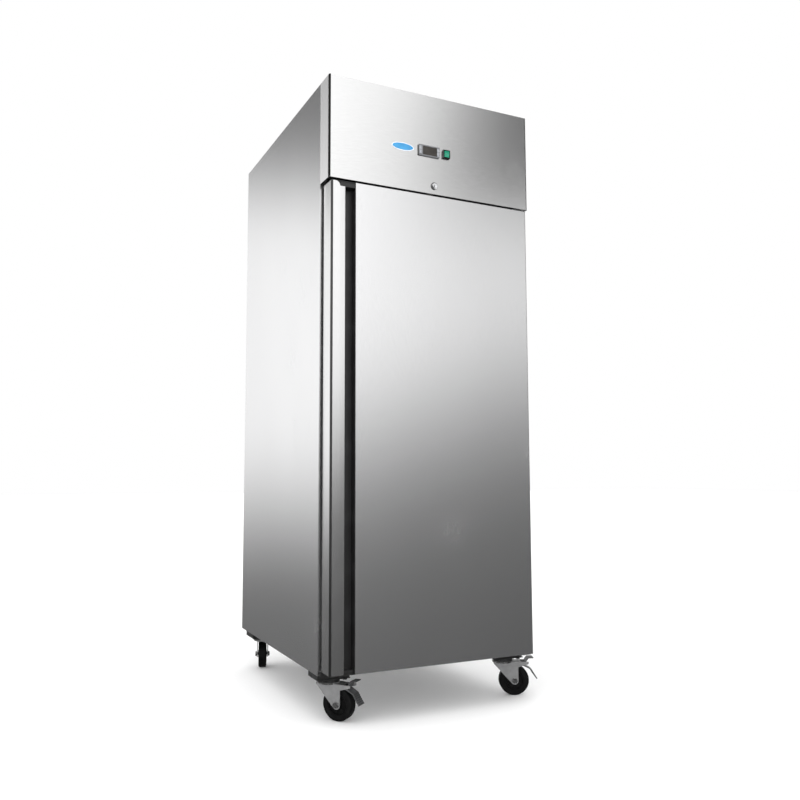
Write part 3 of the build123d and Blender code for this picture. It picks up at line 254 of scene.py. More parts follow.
finishes = {
    "door_steel": brushedSteel("doorSteel", steelLook, uprightGrain),
    "stainless": brushedSteel("sideSteel", steelLook, uprightGrain),
    "fascia_steel": brushedSteel("fasciaSteel", {**steelLook, "roughness": 0.19,
                                                  "dark": tone(0.63), "light": tone(0.73)},
                                 levelGrain),
    "inner_steel": brushedSteel("linerSteel", {**steelLook, "roughness": 0.34}, levelGrain),
    "grip_aluminium": brushedSteel("gripSteel", {**steelLook, "roughness": 0.20,
                                                  "dark": tone(0.66), "light": tone(0.74)},
                                   uprightGrain),
    # the fascia's side faces take a much lighter copy of its steel: painted highlight
    "painted_lit_return_steel": brushedSteel("paintedLitReturnSteel", {**steelLook, "roughness": 0.42,
                                                  "dark": tone(0.95), "light": tone(1.0)},
                                 depthGrain),
    # bends and folds take near-black copies of the steel: a painted dark reflection in the
    # rounded corners
    "painted_bend_reflection": brushedSteel("paintedBendReflection", {**steelLook, "roughness": 0.34,
                                            "dark": tone(0.055), "light": tone(0.085)},
                              uprightGrain),
    "painted_fold_reflection": brushedSteel("paintedFoldReflection", {**steelLook, "roughness": 0.4,
                                            "dark": tone(0.014), "light": tone(0.024)},
                              uprightGrain),
    # dark zinc for the caster plates, pads, bolts and hinge seat cover under the door: painted
    # shade, with mottled dirt on top
    "painted_shade_zinc": platedMetal("paintedShadeZinc", {
        "dark": tone(0.06), "light": tone(0.14), "roughness": 0.42,
        "cloudSize": 30.0, "gritSize": 700.0, "dirtSize": 40.0, "dirt": 0.7,
        "dirtColour": tone(0.04), "bump": 0.15}),
    "bolt_zinc": platedMetal("boltZinc", {
        "dark": tone(0.30), "light": tone(0.46), "roughness": 0.26,
        "cloudSize": 60.0, "gritSize": 700.0, "dirtSize": 90.0, "dirt": 0.6,
        "dirtColour": tone(0.05), "bump": 0.1}),
    # the lock's rosette and side take dark plating: painted shade, with its shadow crescent
    "lock_painted_shade": platedMetal("lockPaintedShade", {
        "dark": tone(0.10), "light": tone(0.20), "roughness": 0.25,
        "cloudSize": 60.0, "gritSize": 900.0, "dirtSize": 90.0, "dirt": 0.3,
        "dirtColour": tone(0.03), "bump": 0.05}),
    "galvanised": spangledZinc("galvanisedSheet", {
        "dark": tone(0.46, 0.47, 0.48), "light": tone(0.62, 0.63, 0.64),
        "roughness": 0.42, "crystalSize": 90.0, "cloudSize": 6.0, "crystalShare": 0.6,
        "crystalRough": 0.18, "bump": 0.12, "depth": 0.0002}),
    "zinc": platedMetal("zincPlate", {
        "dark": tone(0.13, 0.131, 0.133), "light": tone(0.25, 0.25, 0.252), "roughness": 0.40,
        "cloudSize": 55.0, "gritSize": 700.0, "dirtSize": 45.0, "dirt": 0.12,
        "dirtColour": tone(0.25, 0.24, 0.23), "bump": 0.04, "metallic": 0.15}),
    "lock_chrome": platedMetal("lockChrome", {
        "dark": tone(0.74, 0.75, 0.77), "light": tone(0.88, 0.88, 0.89), "roughness": 0.14,
        "cloudSize": 60.0, "gritSize": 900.0, "dirtSize": 90.0, "dirt": 0.2,
        "dirtColour": tone(0.2), "bump": 0.04}),
    "chrome_wire": platedMetal("shelfWire", {
        "dark": tone(0.66, 0.67, 0.68), "light": tone(0.84, 0.84, 0.85), "roughness": 0.2,
        "cloudSize": 25.0, "gritSize": 500.0, "dirtSize": 20.0, "dirt": 0.25,
        "dirtColour": tone(0.3, 0.29, 0.27), "bump": 0.06}),
    "copper": platedMetal("copperTube", {
        "dark": tone(0.50, 0.24, 0.13), "light": tone(0.80, 0.43, 0.28), "roughness": 0.3,
        "cloudSize": 20.0, "gritSize": 500.0, "dirtSize": 30.0, "dirt": 0.6,
        "dirtColour": tone(0.14, 0.08, 0.06), "bump": 0.1}),
    "coil_fins": platedMetal("finStock", {
        "dark": tone(0.58), "light": tone(0.76), "roughness": 0.35,
        "cloudSize": 12.0, "gritSize": 400.0, "dirtSize": 14.0, "dirt": 0.5,
        "dirtColour": tone(0.3, 0.28, 0.25), "bump": 0.1}),
    "black_steel": platedMetal("blackEnamel", {
        "dark": tone(0.02), "light": tone(0.05), "roughness": 0.35,
        "cloudSize": 12.0, "gritSize": 300.0, "dirtSize": 12.0, "dirt": 0.4,
        "dirtColour": tone(0.16, 0.15, 0.13), "bump": 0.15}),
    "black_plastic": mouldedPlastic("blackPlastic", {
        "colour": tone(0.012), "rubbed": tone(0.022, 0.022, 0.023), "roughness": 0.42,
        "polish": 0.08, "grainSize": 1400.0, "rubSize": 14.0, "bump": 0.12}),
    "frame_plastic": mouldedPlastic("framePlastic", {
        "colour": tone(0.03), "rubbed": tone(0.05, 0.05, 0.052), "roughness": 0.5,
        "polish": 0.06, "grainSize": 1200.0, "rubSize": 10.0, "bump": 0.12}),
    "gasket_rubber": mouldedPlastic("gasketRubber", {
        "colour": tone(0.025), "rubbed": tone(0.05), "roughness": 0.62,
        "polish": 0.1, "grainSize": 900.0, "rubSize": 25.0, "bump": 0.15}),
    "wheel_rubber": mouldedPlastic("wheelRubber", {
        "colour": tone(0.0028, 0.0028, 0.003), "rubbed": tone(0.007, 0.007, 0.007),
        "roughness": 0.50, "polish": -0.12, "grainSize": 900.0, "rubSize": 60.0, "bump": 0.18},
        {"Specular IOR Level": 0.12}),
    "pedal_grey": mouldedPlastic("pedalGrey", {
        "colour": tone(0.050, 0.051, 0.053), "rubbed": tone(0.08, 0.08, 0.083),
        "roughness": 0.45, "polish": 0.1, "grainSize": 900.0, "rubSize": 90.0, "bump": 0.2}),
    "bezel_grey": mouldedPlastic("bezelGrey", {
        "colour": tone(0.13, 0.132, 0.14), "rubbed": tone(0.18, 0.18, 0.19),
        "roughness": 0.42, "polish": 0.06, "grainSize": 1600.0, "rubSize": 60.0, "bump": 0.1}),
    "key_grey": mouldedPlastic("keyGrey", {
        "colour": tone(0.25, 0.26, 0.28), "rubbed": tone(0.33, 0.34, 0.36),
        "roughness": 0.5, "polish": 0.1, "grainSize": 1600.0, "rubSize": 150.0, "bump": 0.1}),
    "screen_dark": mouldedPlastic("screenGlass", {
        "colour": tone(0.020, 0.017, 0.014), "rubbed": tone(0.034, 0.030, 0.026),
        "roughness": 0.12, "polish": 0.04, "grainSize": 300.0, "rubSize": 40.0, "bump": 0.01}),
    "switch_green": mouldedPlastic("rockerGreen", {
        "colour": tone(0.001, 0.20, 0.115), "rubbed": tone(0.004, 0.27, 0.16),
        "roughness": 0.28, "polish": 0.06, "grainSize": 900.0, "rubSize": 90.0, "bump": 0.05},
        {"Coat Weight": 0.4}),
    "badge_blue": mouldedPlastic("badgeBlue", {
        "colour": tone(0.02, 0.21, 0.44), "rubbed": tone(0.03, 0.26, 0.52),
        "roughness": 0.25, "polish": 0.04, "grainSize": 900.0, "rubSize": 50.0, "bump": 0.03},
        {"Coat Weight": 0.5}),
    "badge_rim": mouldedPlastic("badgeRim", {
        "colour": tone(0.70, 0.74, 0.80), "rubbed": tone(0.80, 0.83, 0.88),
        "roughness": 0.25, "polish": 0.04, "grainSize": 900.0, "rubSize": 50.0, "bump": 0.03}),
    "white_plastic": mouldedPlastic("whitePlastic", {
        "colour": tone(0.72, 0.72, 0.70), "rubbed": tone(0.80, 0.80, 0.79),
        "roughness": 0.4, "polish": 0.08, "grainSize": 900.0, "rubSize": 8.0, "bump": 0.1}),
    "lamp_cover": mouldedPlastic("lampCover", {
        "colour": tone(0.82, 0.83, 0.82), "rubbed": tone(0.9, 0.9, 0.88),
        "roughness": 0.3, "polish": 0.06, "grainSize": 400.0, "rubSize": 12.0, "bump": 0.1},
        {"Transmission Weight": 0.25}),
    "nylon": mouldedPlastic("nylonBush", {
        "colour": tone(0.62, 0.61, 0.56), "rubbed": tone(0.7, 0.69, 0.66),
        "roughness": 0.45, "polish": 0.1, "grainSize": 900.0, "rubSize": 60.0, "bump": 0.1}),
    "foam": mouldedPlastic("foamFill", {
        "colour": tone(0.68, 0.58, 0.32), "rubbed": tone(0.78, 0.68, 0.42),
        "roughness": 0.85, "polish": 0.05, "grainSize": 500.0, "rubSize": 30.0, "bump": 0.5}),
}
finishOf = {row["node"]: row["material_slot"] for row in frame["record"]["subparts"]}
lookOf = {**finishOf, "fascia_panel": "fascia_steel", "door_skin": "door_steel",
          "inner_liner": "inner_steel", "door_inner_pan": "inner_steel"}
for node, cadNode in cadNodes.items():
    cadNode.data.materials.clear()
    cadNode.data.materials.append(finishes[lookOf[node]])
print("materials ready")

# ---- modelling helpers

def selectNone():
    bpy.ops.object.select_all(action="DESELECT")


def activate(piece):
    selectNone()
    piece.select_set(True)
    bpy.context.view_layer.objects.active = piece


def edit(piece):
    activate(piece)
    bpy.ops.object.mode_set(mode="EDIT")


def leaveEdit():
    bpy.ops.object.mode_set(mode="OBJECT")


def pickFaces(piece, test):
    # selects the faces whose middle and normal pass the test
    bpy.ops.mesh.select_mode(type="FACE")
    bpy.ops.mesh.select_all(action="DESELECT")
    shape = bmesh.from_edit_mesh(piece.data)
    for face in shape.faces:
        face.select_set(test(face.calc_center_median(), face.normal))
    shape.select_flush_mode()
    bmesh.update_edit_mesh(piece.data)


def pickEdges(piece, test):
    bpy.ops.mesh.select_mode(type="EDGE")
    bpy.ops.mesh.select_all(action="DESELECT")
    shape = bmesh.from_edit_mesh(piece.data)
    for edge in shape.edges:
        first, second = (corner.co for corner in edge.verts)
        edge.select_set(test((first + second) / 2, (second - first).normalized()))
    bmesh.update_edit_mesh(piece.data)


def stepFace(piece, side, steps):
    # repeated inset and push of one end face; side is a unit vector
    side = Vector(side)
    far = max((corner.co.dot(side) for corner in piece.data.vertices))
    edit(piece)
    pickFaces(piece, lambda middle, normal: normal.dot(side) > 0.99
              and middle.dot(side) > far - 1e-5)
    for inset, push in steps:
        bpy.ops.mesh.inset(thickness=inset)
        bpy.ops.transform.translate(value=side * push)
    leaveEdit()


def bevelEdges(piece, width, segments, test):
    edit(piece)
    pickEdges(piece, test)
    bpy.ops.mesh.bevel(offset=width, segments=segments, affect="EDGES")
    leaveEdit()


def applyModifier(piece, kind, settings):
    activate(piece)
    made = piece.modifiers.new(kind.lower(), kind)
    for key, value in settings.items():
        setattr(made, key, value)
    bpy.ops.object.modifier_apply(modifier=made.name)


def addBox(low, high):
    selectNone()
    low, high = Vector(low), Vector(high)
    bpy.ops.mesh.primitive_cube_add(size=1, location=(low + high) / 2)
    piece = bpy.context.object
    piece.scale = high - low
    bpy.ops.object.transform_apply(location=True, rotation=True, scale=True)
    return piece


def addDisc(radius, length, sides=48):
    # cylinder along X round the origin
    selectNone()
    bpy.ops.mesh.primitive_cylinder_add(vertices=sides, radius=radius, depth=length,
                                        rotation=(0, math.radians(90), 0))
    bpy.ops.object.transform_apply(location=True, rotation=True, scale=True)
    return bpy.context.object


def copied(piece, matrix):
    twin = piece.copy()
    twin.data = piece.data.copy()
    twin.data.transform(matrix)
    bpy.context.scene.collection.objects.link(twin)
    return twin


def joined(pieces):
    selectNone()
    for piece in pieces:
        piece.select_set(True)
    bpy.context.view_layer.objects.active = pieces[0]
    bpy.ops.object.join()
    return bpy.context.object


def tidyNormals(piece):
    edit(piece)
    bpy.ops.mesh.select_all(action="SELECT")
    bpy.ops.mesh.remove_doubles(threshold=1e-6)
    bpy.ops.mesh.normals_make_consistent(inside=False)
    leaveEdit()


def smoothed(piece, angle=32):
    activate(piece)
    bpy.ops.object.shade_smooth_by_angle(angle=math.radians(angle))


def settle(piece, name, node, look, replaced=(), smooth=32):
    # last step of a piece: name, shading, material and body
    if smooth:
        smoothed(piece, smooth)
        applyModifier(piece, "WEIGHTED_NORMAL", {"keep_sharp": True, "weight": 80})
    piece.name = name
    piece.data.name = name
    if not piece.data.materials:
        piece.data.materials.append(finishes[look])
    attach(piece, bodyOf[node])
    if replaced:
        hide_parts(*replaced)
    return piece


bodyOf = {node: piece["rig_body"] for node, piece in cadNodes.items()}


def dressed(node, name, width, segments=2, looks=None, angle=30):
    # the node's own shape, merged, with its edges rounded
    source = cadNodes[node]
    piece = bpy.data.objects.new(name, source.data.copy())
    bpy.context.scene.collection.objects.link(piece)
    edit(piece)
    bpy.ops.mesh.select_all(action="SELECT")
    bpy.ops.mesh.remove_doubles(threshold=2e-5)
    bpy.ops.mesh.dissolve_limited(angle_limit=math.radians(0.6))
    leaveEdit()
    if width:
        applyModifier(piece, "BEVEL", {"width": width, "segments": segments,
                                       "limit_method": "ANGLE",
                                       "angle_limit": math.radians(angle)})
    piece.data.materials.clear()
    for look in looks or [lookOf[node]]:
        piece.data.materials.append(finishes[look])
    return piece


def markFaces(piece, index, test):
    for face in piece.data.polygons:
        if test(face.center, face.normal):
            face.material_index = index


# ---- sheet metal: each panel's own shape with softened edges, its bends painted as a dark reflection line

# least slant of a bend's faces along X, Y and Z, and the widths of the fascia's dark lines, all
# painted on as a dark reflection
paintedBendReflection = {"across": 0.05, "front": -0.05, "level": 0.1, "side": 0.99, "face": -0.5,
            "band": 0.0085, "edge": 0.0036}
rounded = {
    "fascia_panel": ("fasciaShell", 0.0004, ["fascia_steel", "painted_fold_reflection", "painted_lit_return_steel"]),
    "door_skin": ("doorShell", 0.0003, ["door_steel", "painted_bend_reflection"]),
    "grip_profile": ("gripShell", 0.0004, ["grip_aluminium", "painted_bend_reflection"]),
    "side_panel_left": ("leftSide", 0.0003, ["stainless"]),
    "side_panel_right": ("rightSide", 0.0003, ["stainless"]),
    "back_panel": ("backSheet", 0.0003, ["galvanised"]),
    "top_panel": ("roofSheet", 0.0003, ["galvanised"]),
    "base_panel": ("floorSheet", 0.0003, ["galvanised"]),
    "door_inner_pan": ("doorLiner", 0.0005, ["inner_steel"]),
    "finger_channel": ("fingerChannel", 0.0004, ["black_plastic"]),
    "grip_caps": ("gripCaps", 0.0004, ["black_plastic"]),
    "front_frame": ("openingFrame", 0.0006, ["frame_plastic"]),
    "hinge_bracket_bottom": ("lowerHinge", 0.0004, ["zinc"]),
    "hinge_bracket_top": ("upperHinge", 0.0004, ["zinc"]),
    # the seat cover takes the dark zinc: painted shade
    "hinge_seat_cover": ("seatCover", 0.0004, ["painted_shade_zinc"]),
    "evaporator_cover": ("coolerCover", 0.0005, ["white_plastic"]),
    "pilasters": ("shelfPosts", 0.0004, ["stainless"]),
    "shelf_slides": ("shelfSlides", 0.0004, ["stainless"]),
    "wire_shelves": ("wireShelves", 0.0012, ["chrome_wire"]),
    "interior_lamp": ("lampCover", 0.0008, ["lamp_cover"]),
    # the caster plates take the dark zinc: painted shade under the door
    "caster_plates": ("casterPlates", 0.0004, ["painted_shade_zinc"]),
    "control_box": ("controlBox", 0.001, ["black_plastic"]),
    "drain_tray": ("drainTray", 0.0008, ["white_plastic"]),
    "compressor": ("compressorShell", 0.001, ["black_steel"]),
}
for node, (name, width, looks) in rounded.items():
    piece = dressed(node, name, width, 2, looks)
    if len(looks) > 1:
        # the bend faces take the near-black steel: painted dark reflection
        markFaces(piece, 1, lambda middle, normal: abs(normal.x) > paintedBendReflection["across"]
                  and normal.y < paintedBendReflection["front"] and abs(normal.z) < paintedBendReflection["level"])
    if "painted_lit_return_steel" in looks:
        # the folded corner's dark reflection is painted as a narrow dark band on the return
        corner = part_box(node)[0].y + paintedBendReflection["band"]
        edit(piece)
        bpy.ops.mesh.select_all(action="SELECT")
        bpy.ops.mesh.bisect(plane_co=(0, corner, 0), plane_no=(0, 1, 0))
        leaveEdit()
        # the side faces take the lighter steel: painted highlight
        markFaces(piece, 2, lambda middle, normal: abs(normal.x) > paintedBendReflection["side"])
        markFaces(piece, 1, lambda middle, normal: abs(normal.x) > paintedBendReflection["side"]
                  and middle.y < corner)
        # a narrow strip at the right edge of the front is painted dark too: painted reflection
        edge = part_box(node)[1].x - paintedBendReflection["edge"]
        edit(piece)
        bpy.ops.mesh.select_all(action="SELECT")
        bpy.ops.mesh.bisect(plane_co=(edge, 0, 0), plane_no=(1, 0, 0))
        leaveEdit()
        markFaces(piece, 1, lambda middle, normal: normal.y < paintedBendReflection["face"]
                  and middle.x > edge)
    settle(piece, name, node, looks[0], [node])
print("sheet metal ready")

# ---- casters

wheelMake = {
    "radius": 0.04998, "half": 0.015, "sides": 72, "shoulder": 0.005, "rimBand": 0.002,
    # inset and push of each side: tread wall, groove, web, hub
    "side": [(0.0125, 0.0), (0.0012, -0.0012), (0.0012, 0.0), (0.0012, 0.0012),
             (0.0008, -0.0040), (0.0140, 0.0), (0.0010, 0.0052), (0.0030, 0.0008),
             (0.0035, 0.0)],
    "ribs": 6, "ribThick": 0.0028, "ribFrom": 0.0165, "ribTo": 0.0335,
    "web": 0.0040, "ribSunk": 0.0006, "ribProud": 0.0022, "ribEdge": 0.0008,
}
rollAxis = {joint["child"]: Vector(joint["axis"]) for joint in frame["joints"]
            if joint["name"].startswith("roll_")}


def buildWheel(make):
    wheel = addDisc(make["radius"], 2 * make["half"], make["sides"])
    rim = make["radius"] - make["rimBand"]
    bevelEdges(wheel, make["shoulder"], 4, lambda middle, along: abs(along.x) < 0.1
               and Vector((middle.y, middle.z)).length > rim)
    for side in ((1, 0, 0), (-1, 0, 0)):
        stepFace(wheel, side, make["side"])
    ribs = []
    for side in (-1, 1):
        web = make["half"] - make["web"]
        low = (side * (web - make["ribSunk"]), -make["ribThick"] / 2, make["ribFrom"])
        high = (side * (web + make["ribProud"]), make["ribThick"] / 2, make["ribTo"])
        rib = addBox(low, high)
        bevelEdges(rib, make["ribEdge"], 2, lambda middle, along: abs(along.z) > 0.9)
        for turn in range(1, make["ribs"]):
            angle = turn * 2 * math.pi / make["ribs"]
            ribs.append(copied(rib, Matrix.Rotation(angle, 4, "X")))
        ribs.append(rib)
    wheel = joined([wheel, *ribs])
    tidyNormals(wheel)
    return wheel


def alongAcross(body):
    # wheel's own axis to the fork's across direction
    across = rollAxis[body]
    return Matrix.Rotation(math.atan2(across.y, across.x), 4, "Z")


corners = ["front_left", "front_right", "rear_left", "rear_right"]
wheelMaster = buildWheel(wheelMake)
for corner in corners:
    node = "caster_wheel_" + corner
    low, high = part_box(node)
    place = Matrix.Translation((low + high) / 2) @ alongAcross("wheel_" + corner)
    settle(copied(wheelMaster, place), "wheel." + corner, node, "wheel_rubber", [node])
bpy.data.objects.remove(wheelMaster)

# outside is how far the fork's face stands from the middle of the wheel
axleHead = {"outside": 0.0209, "sides": 32, "ring": 0.0092, "ringDepth": 0.0012,
            "ringEdge": 0.0004, "dome": 0.0055, "domeDepth": 0.0062,
            "steps": [(0.0008, 0.0), (0.0010, -0.0009)], "faceGap": 0.0003}


def buildAxleEnd(make, side):
    # washer and domed head on the fork's face
    start = make["outside"]
    washer = addDisc(make["ring"], make["ringDepth"], make["sides"])
    washer.data.transform(Matrix.Translation((side * (start + make["ringDepth"] / 2), 0, 0)))
    bevelEdges(washer, make["ringEdge"], 2, lambda middle, along: abs(along.x) < 0.1)
    head = addDisc(make["dome"], make["domeDepth"] - make["ringDepth"], make["sides"])
    middle = start + (make["ringDepth"] + make["domeDepth"]) / 2
    head.data.transform(Matrix.Translation((side * middle, 0, 0)))
    stepFace(head, (side, 0, 0), make["steps"])
    return joined([washer, head])


for corner in corners:
    node = "caster_fork_" + corner
    wheelLow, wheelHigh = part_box("caster_wheel_" + corner)
    axle = (wheelLow + wheelHigh) / 2
    across = rollAxis["wheel_" + corner].normalized()
    turned = Matrix.Translation(axle) @ alongAcross("wheel_" + corner)
    fork = dressed(node, "fork", 0.0005, 2, ["zinc", "bolt_zinc"])
    reach = axleHead["outside"] + axleHead["faceGap"]
    markFaces(fork, 1, lambda middle, normal: abs((middle - axle).dot(across)) > reach)
    settle(fork, "fork." + corner, node, "zinc", [node])
    ends = joined([buildAxleEnd(axleHead, 1), buildAxleEnd(axleHead, -1)])
    ends.data.transform(turned)
    settle(ends, "axleEnds." + corner, node, "bolt_zinc")

# ribs across the pedal's foot: first and last place ahead of and above the axle
pedalMake = {"ribs": 6, "first": (0.0585, 0.0350), "last": (0.0752, 0.0085),
             "ribSize": (0.0310, 0.0026, 0.0018), "ribEdge": 0.0004}
for corner in corners[:2]:
    node = "brake_pedal_" + corner
    pedal = dressed(node, "pedal", 0.0005, 2, ["pedal_grey"])
    wheelLow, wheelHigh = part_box("caster_wheel_" + corner)
    turned = Matrix.Translation((wheelLow + wheelHigh) / 2) @ alongAcross("wheel_" + corner)
    first, last = (Vector((0, *spot)) for spot in (pedalMake["first"], pedalMake["last"]))
    slope = Matrix.Rotation(math.atan2(last.z - first.z, last.y - first.y), 4, "X")
    half = Vector(pedalMake["ribSize"]) / 2
    ribs = []
    for index in range(pedalMake["ribs"]):
        rib = addBox(-half, half)
        bevelEdges(rib, pedalMake["ribEdge"], 1, lambda middle, along: abs(along.x) > 0.9)
        spot = first.lerp(last, index / (pedalMake["ribs"] - 1))
        rib.data.transform(turned @ Matrix.Translation(spot) @ slope)
        ribs.append(rib)
    settle(joined(ribs), "pedalRibs." + corner, node, "black_plastic", smooth=0)
    settle(pedal, "pedal." + corner, node, "pedal_grey", [node])

# the base pads and caster bolts take the dark zinc: painted shade under the door
for node, width in (("base_pads", 0.0005), ("caster_bolts", 0.0004)):
    piece = dressed(node, node, width, 2, ["painted_shade_zinc"])
    settle(piece, "soft." + node, node, "painted_shade_zinc", [node])
print("casters ready")

# ---- controls

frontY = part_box("fascia_panel")[0].y
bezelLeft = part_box("thermostat_bezel")[0].x
# the band key is the width of the strip down the bezel's left side that is painted black as
# shade
bezelMake = {"edge": 0.0006, "paintedShadeBand": 0.002, "slant": -0.4, "screenEdge": 0.0004}
bezel = dressed("thermostat_bezel", "thermostatBezel", bezelMake["edge"], 3,
                ["bezel_grey", "black_plastic"])
# the slanted faces near the left edge take black: painted shade
markFaces(bezel, 1, lambda middle, normal: normal.x < bezelMake["slant"]
          and middle.x < bezelLeft + bezelMake["paintedShadeBand"])
settle(bezel, "thermostatBezel", "thermostat_bezel", "bezel_grey", ["thermostat_bezel"])
screen = dressed("thermostat_screen", "thermostatScreen", bezelMake["screenEdge"])
settle(screen, "thermostatScreen", "thermostat_screen", "screen_dark", ["thermostat_screen"])

# the steps' insets add up to less than the corner radius, so no corner folds over
keyMake = {"back": 0.0019, "inner": 0.0010, "padGap": 0.0009, "spare": 0.0008, "sunk": 0.0002,
           "corner": 0.0010, "backEdge": 0.0003,
           "steps": [(0.0005, 0.0), (0.0002, -0.0002), (0.0002, -0.0002)]}
for word in ("left", "right"):
    node = "thermostat_key_" + word
    low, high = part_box(node)
    middle = (low.z + high.z) / 2
    gap = keyMake["padGap"] / 2
    padBack = high.y - keyMake["back"]
    pads = []
    for bottom, top in ((low.z, middle - gap), (middle + gap, high.z)):
        pad = addBox((low.x, low.y, bottom), (high.x, padBack, top))
        bevelEdges(pad, keyMake["corner"], 3, lambda spot, along: abs(along.y) > 0.9)
        stepFace(pad, (0, -1, 0), keyMake["steps"])
        pads.append(pad)
    inner = keyMake["inner"]
    back = addBox((low.x + inner, padBack - keyMake["sunk"], low.z + inner),
                  (high.x - inner, high.y - keyMake["spare"], high.z - inner))
    bevelEdges(back, keyMake["backEdge"], 1, lambda spot, along: abs(along.y) > 0.9)
    settle(joined([*pads, back]), "keys." + word, node, "key_grey", [node])

switchLow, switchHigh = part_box("switch_housing")
switchMake = {"wall": 0.0027, "slope": 0.0014, "floor": 0.006, "edge": 0.0006,
              "shoulder": 0.0015, "backSteps": [(0.002, 0.0), (0.001, -0.002)]}


def buildSwitchHousing(low, high, front, make):
    # shell that leans in above and below, so its side is six-cornered
    shoulder = make["shoulder"]
    body = addBox((low.x + shoulder, front, low.z + shoulder),
                  (high.x - shoulder, high.y, high.z - shoulder))
    stepFace(body, (0, 1, 0), make["backSteps"])
    shell = addBox((low.x, low.y, low.z), (high.x, front, high.z))
    edit(shell)
    pickFaces(shell, lambda middle, normal: normal.y < -0.9)
    bpy.ops.transform.resize(value=(1, 1, 1 - 2 * make["slope"] / (high.z - low.z)))
    bpy.ops.mesh.inset(thickness=make["wall"])
    bpy.ops.transform.translate(value=(0, make["floor"], 0))
    leaveEdit()
    applyModifier(shell, "BEVEL", {"width": make["edge"], "segments": 3,
                                   "limit_method": "ANGLE"})
    return joined([shell, body])


housing = buildSwitchHousing(switchLow, switchHigh, frontY, switchMake)
settle(housing, "switchHousing", "switch_housing", "black_plastic", ["switch_housing"])

rockerMake = {"tilt": 7.0, "gap": 0.0004, "front": 0.0035, "back": 0.0025, "hollow": 0.0012,
              "cuts": 7, "faceBand": 0.0005, "edge": 0.0005, "edgeAngle": 50}


def buildRocker(make, around):
    # saddle-faced rocker, leaning to its on side
    size = switchHigh - switchLow
    halfX = size.x / 2 - around["wall"] - make["gap"]
    halfZ = size.z / 2 - around["wall"] - around["slope"] - make["gap"] * 2
    middle = (switchLow + switchHigh) / 2
    rocker = addBox((-halfX, -make["front"], -halfZ), (halfX, make["back"], halfZ))
    edit(rocker)
    bpy.ops.mesh.select_all(action="SELECT")
    bpy.ops.mesh.subdivide(number_cuts=make["cuts"])
    leaveEdit()
    for corner in rocker.data.vertices:
        if corner.co.y < make["faceBand"] - make["front"]:
            corner.co.y += make["hollow"] * (1 - (corner.co.z / halfZ) ** 2)
    applyModifier(rocker, "BEVEL", {"width": make["edge"], "segments": 2,
                                    "limit_method": "ANGLE",
                                    "angle_limit": math.radians(make["edgeAngle"])})
    lean = Matrix.Rotation(math.radians(make["tilt"]), 4, "X")
    place = Matrix.Translation((middle.x, switchLow.y + make["front"], middle.z))
    rocker.data.transform(place @ lean)
    return rocker


settle(buildRocker(rockerMake, switchMake), "switchRocker", "switch_rocker", "switch_green",
       ["switch_rocker"])

badgeLow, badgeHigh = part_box("oval_badge")
badgeMake = {"sides": 96, "rim": 0.0019,
             # how far each ring moves in, and its push along Y
             "rings": [(0.0004, 0.0), (0.0015, 0.0), (0.0003, 0.0003), (0.003, -0.0001),
                       (0.004, -0.0001)]}


def buildBadge(make):
    # domed blank oval with a pale rim
    middle = (badgeLow + badgeHigh) / 2
    size = badgeHigh - badgeLow
    selectNone()
    bpy.ops.mesh.primitive_cylinder_add(vertices=make["sides"], radius=0.5, depth=size.y,
                                        rotation=(math.radians(90), 0, 0))
    badge = bpy.context.object
    badge.scale = (size.x, size.z, 1)
    bpy.ops.object.transform_apply(location=True, rotation=True, scale=True)
    edit(badge)
    pickFaces(badge, lambda spot, normal: normal.y < -0.9)
    for inward, push in make["rings"]:
        bpy.ops.mesh.extrude_region_move(TRANSFORM_OT_translate={"value": (0, push, 0)})
        bpy.ops.transform.resize(value=(1 - 2 * inward / size.x, 1, 1 - 2 * inward / size.z))
    leaveEdit()
    tidyNormals(badge)
    badge.data.transform(Matrix.Translation(middle))
    badge.data.materials.append(finishes["badge_blue"])
    badge.data.materials.append(finishes["badge_rim"])
    inner = Vector((size.x / 2 - make["rim"], size.z / 2 - make["rim"]))
    markFaces(badge, 1, lambda spot, normal: ((spot.x - middle.x) / inner.x) ** 2
              + ((spot.z - middle.z) / inner.y) ** 2 > 1.0)
    return badge


settle(buildBadge(badgeMake), "ovalBadge", "oval_badge", "badge_blue", ["oval_badge"])

lockLow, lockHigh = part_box("lock_barrel")
# collar: least and most distance of the bright ring from its own middle; the ring is set
# off-centre, so a painted shadow crescent stays dark on the left and top
lockMake = {"offset": (0.0010, 0, -0.0005), "collar": (0.0068, 0.0094), "sides": 64,
            "edge": 0.0005, "edgeBand": 0.0002,
            # inset and shift of each ring
            "steps": [(0.0024, (0.0010, 0, -0.0005)), (0.0001, (0, -0.0003, 0)),
                      (0.0020, (0, 0.0002, 0)), (0.0003, (-0.0010, 0.0014, 0.0005)),
                      (0.0004, (0, 0, 0))]}


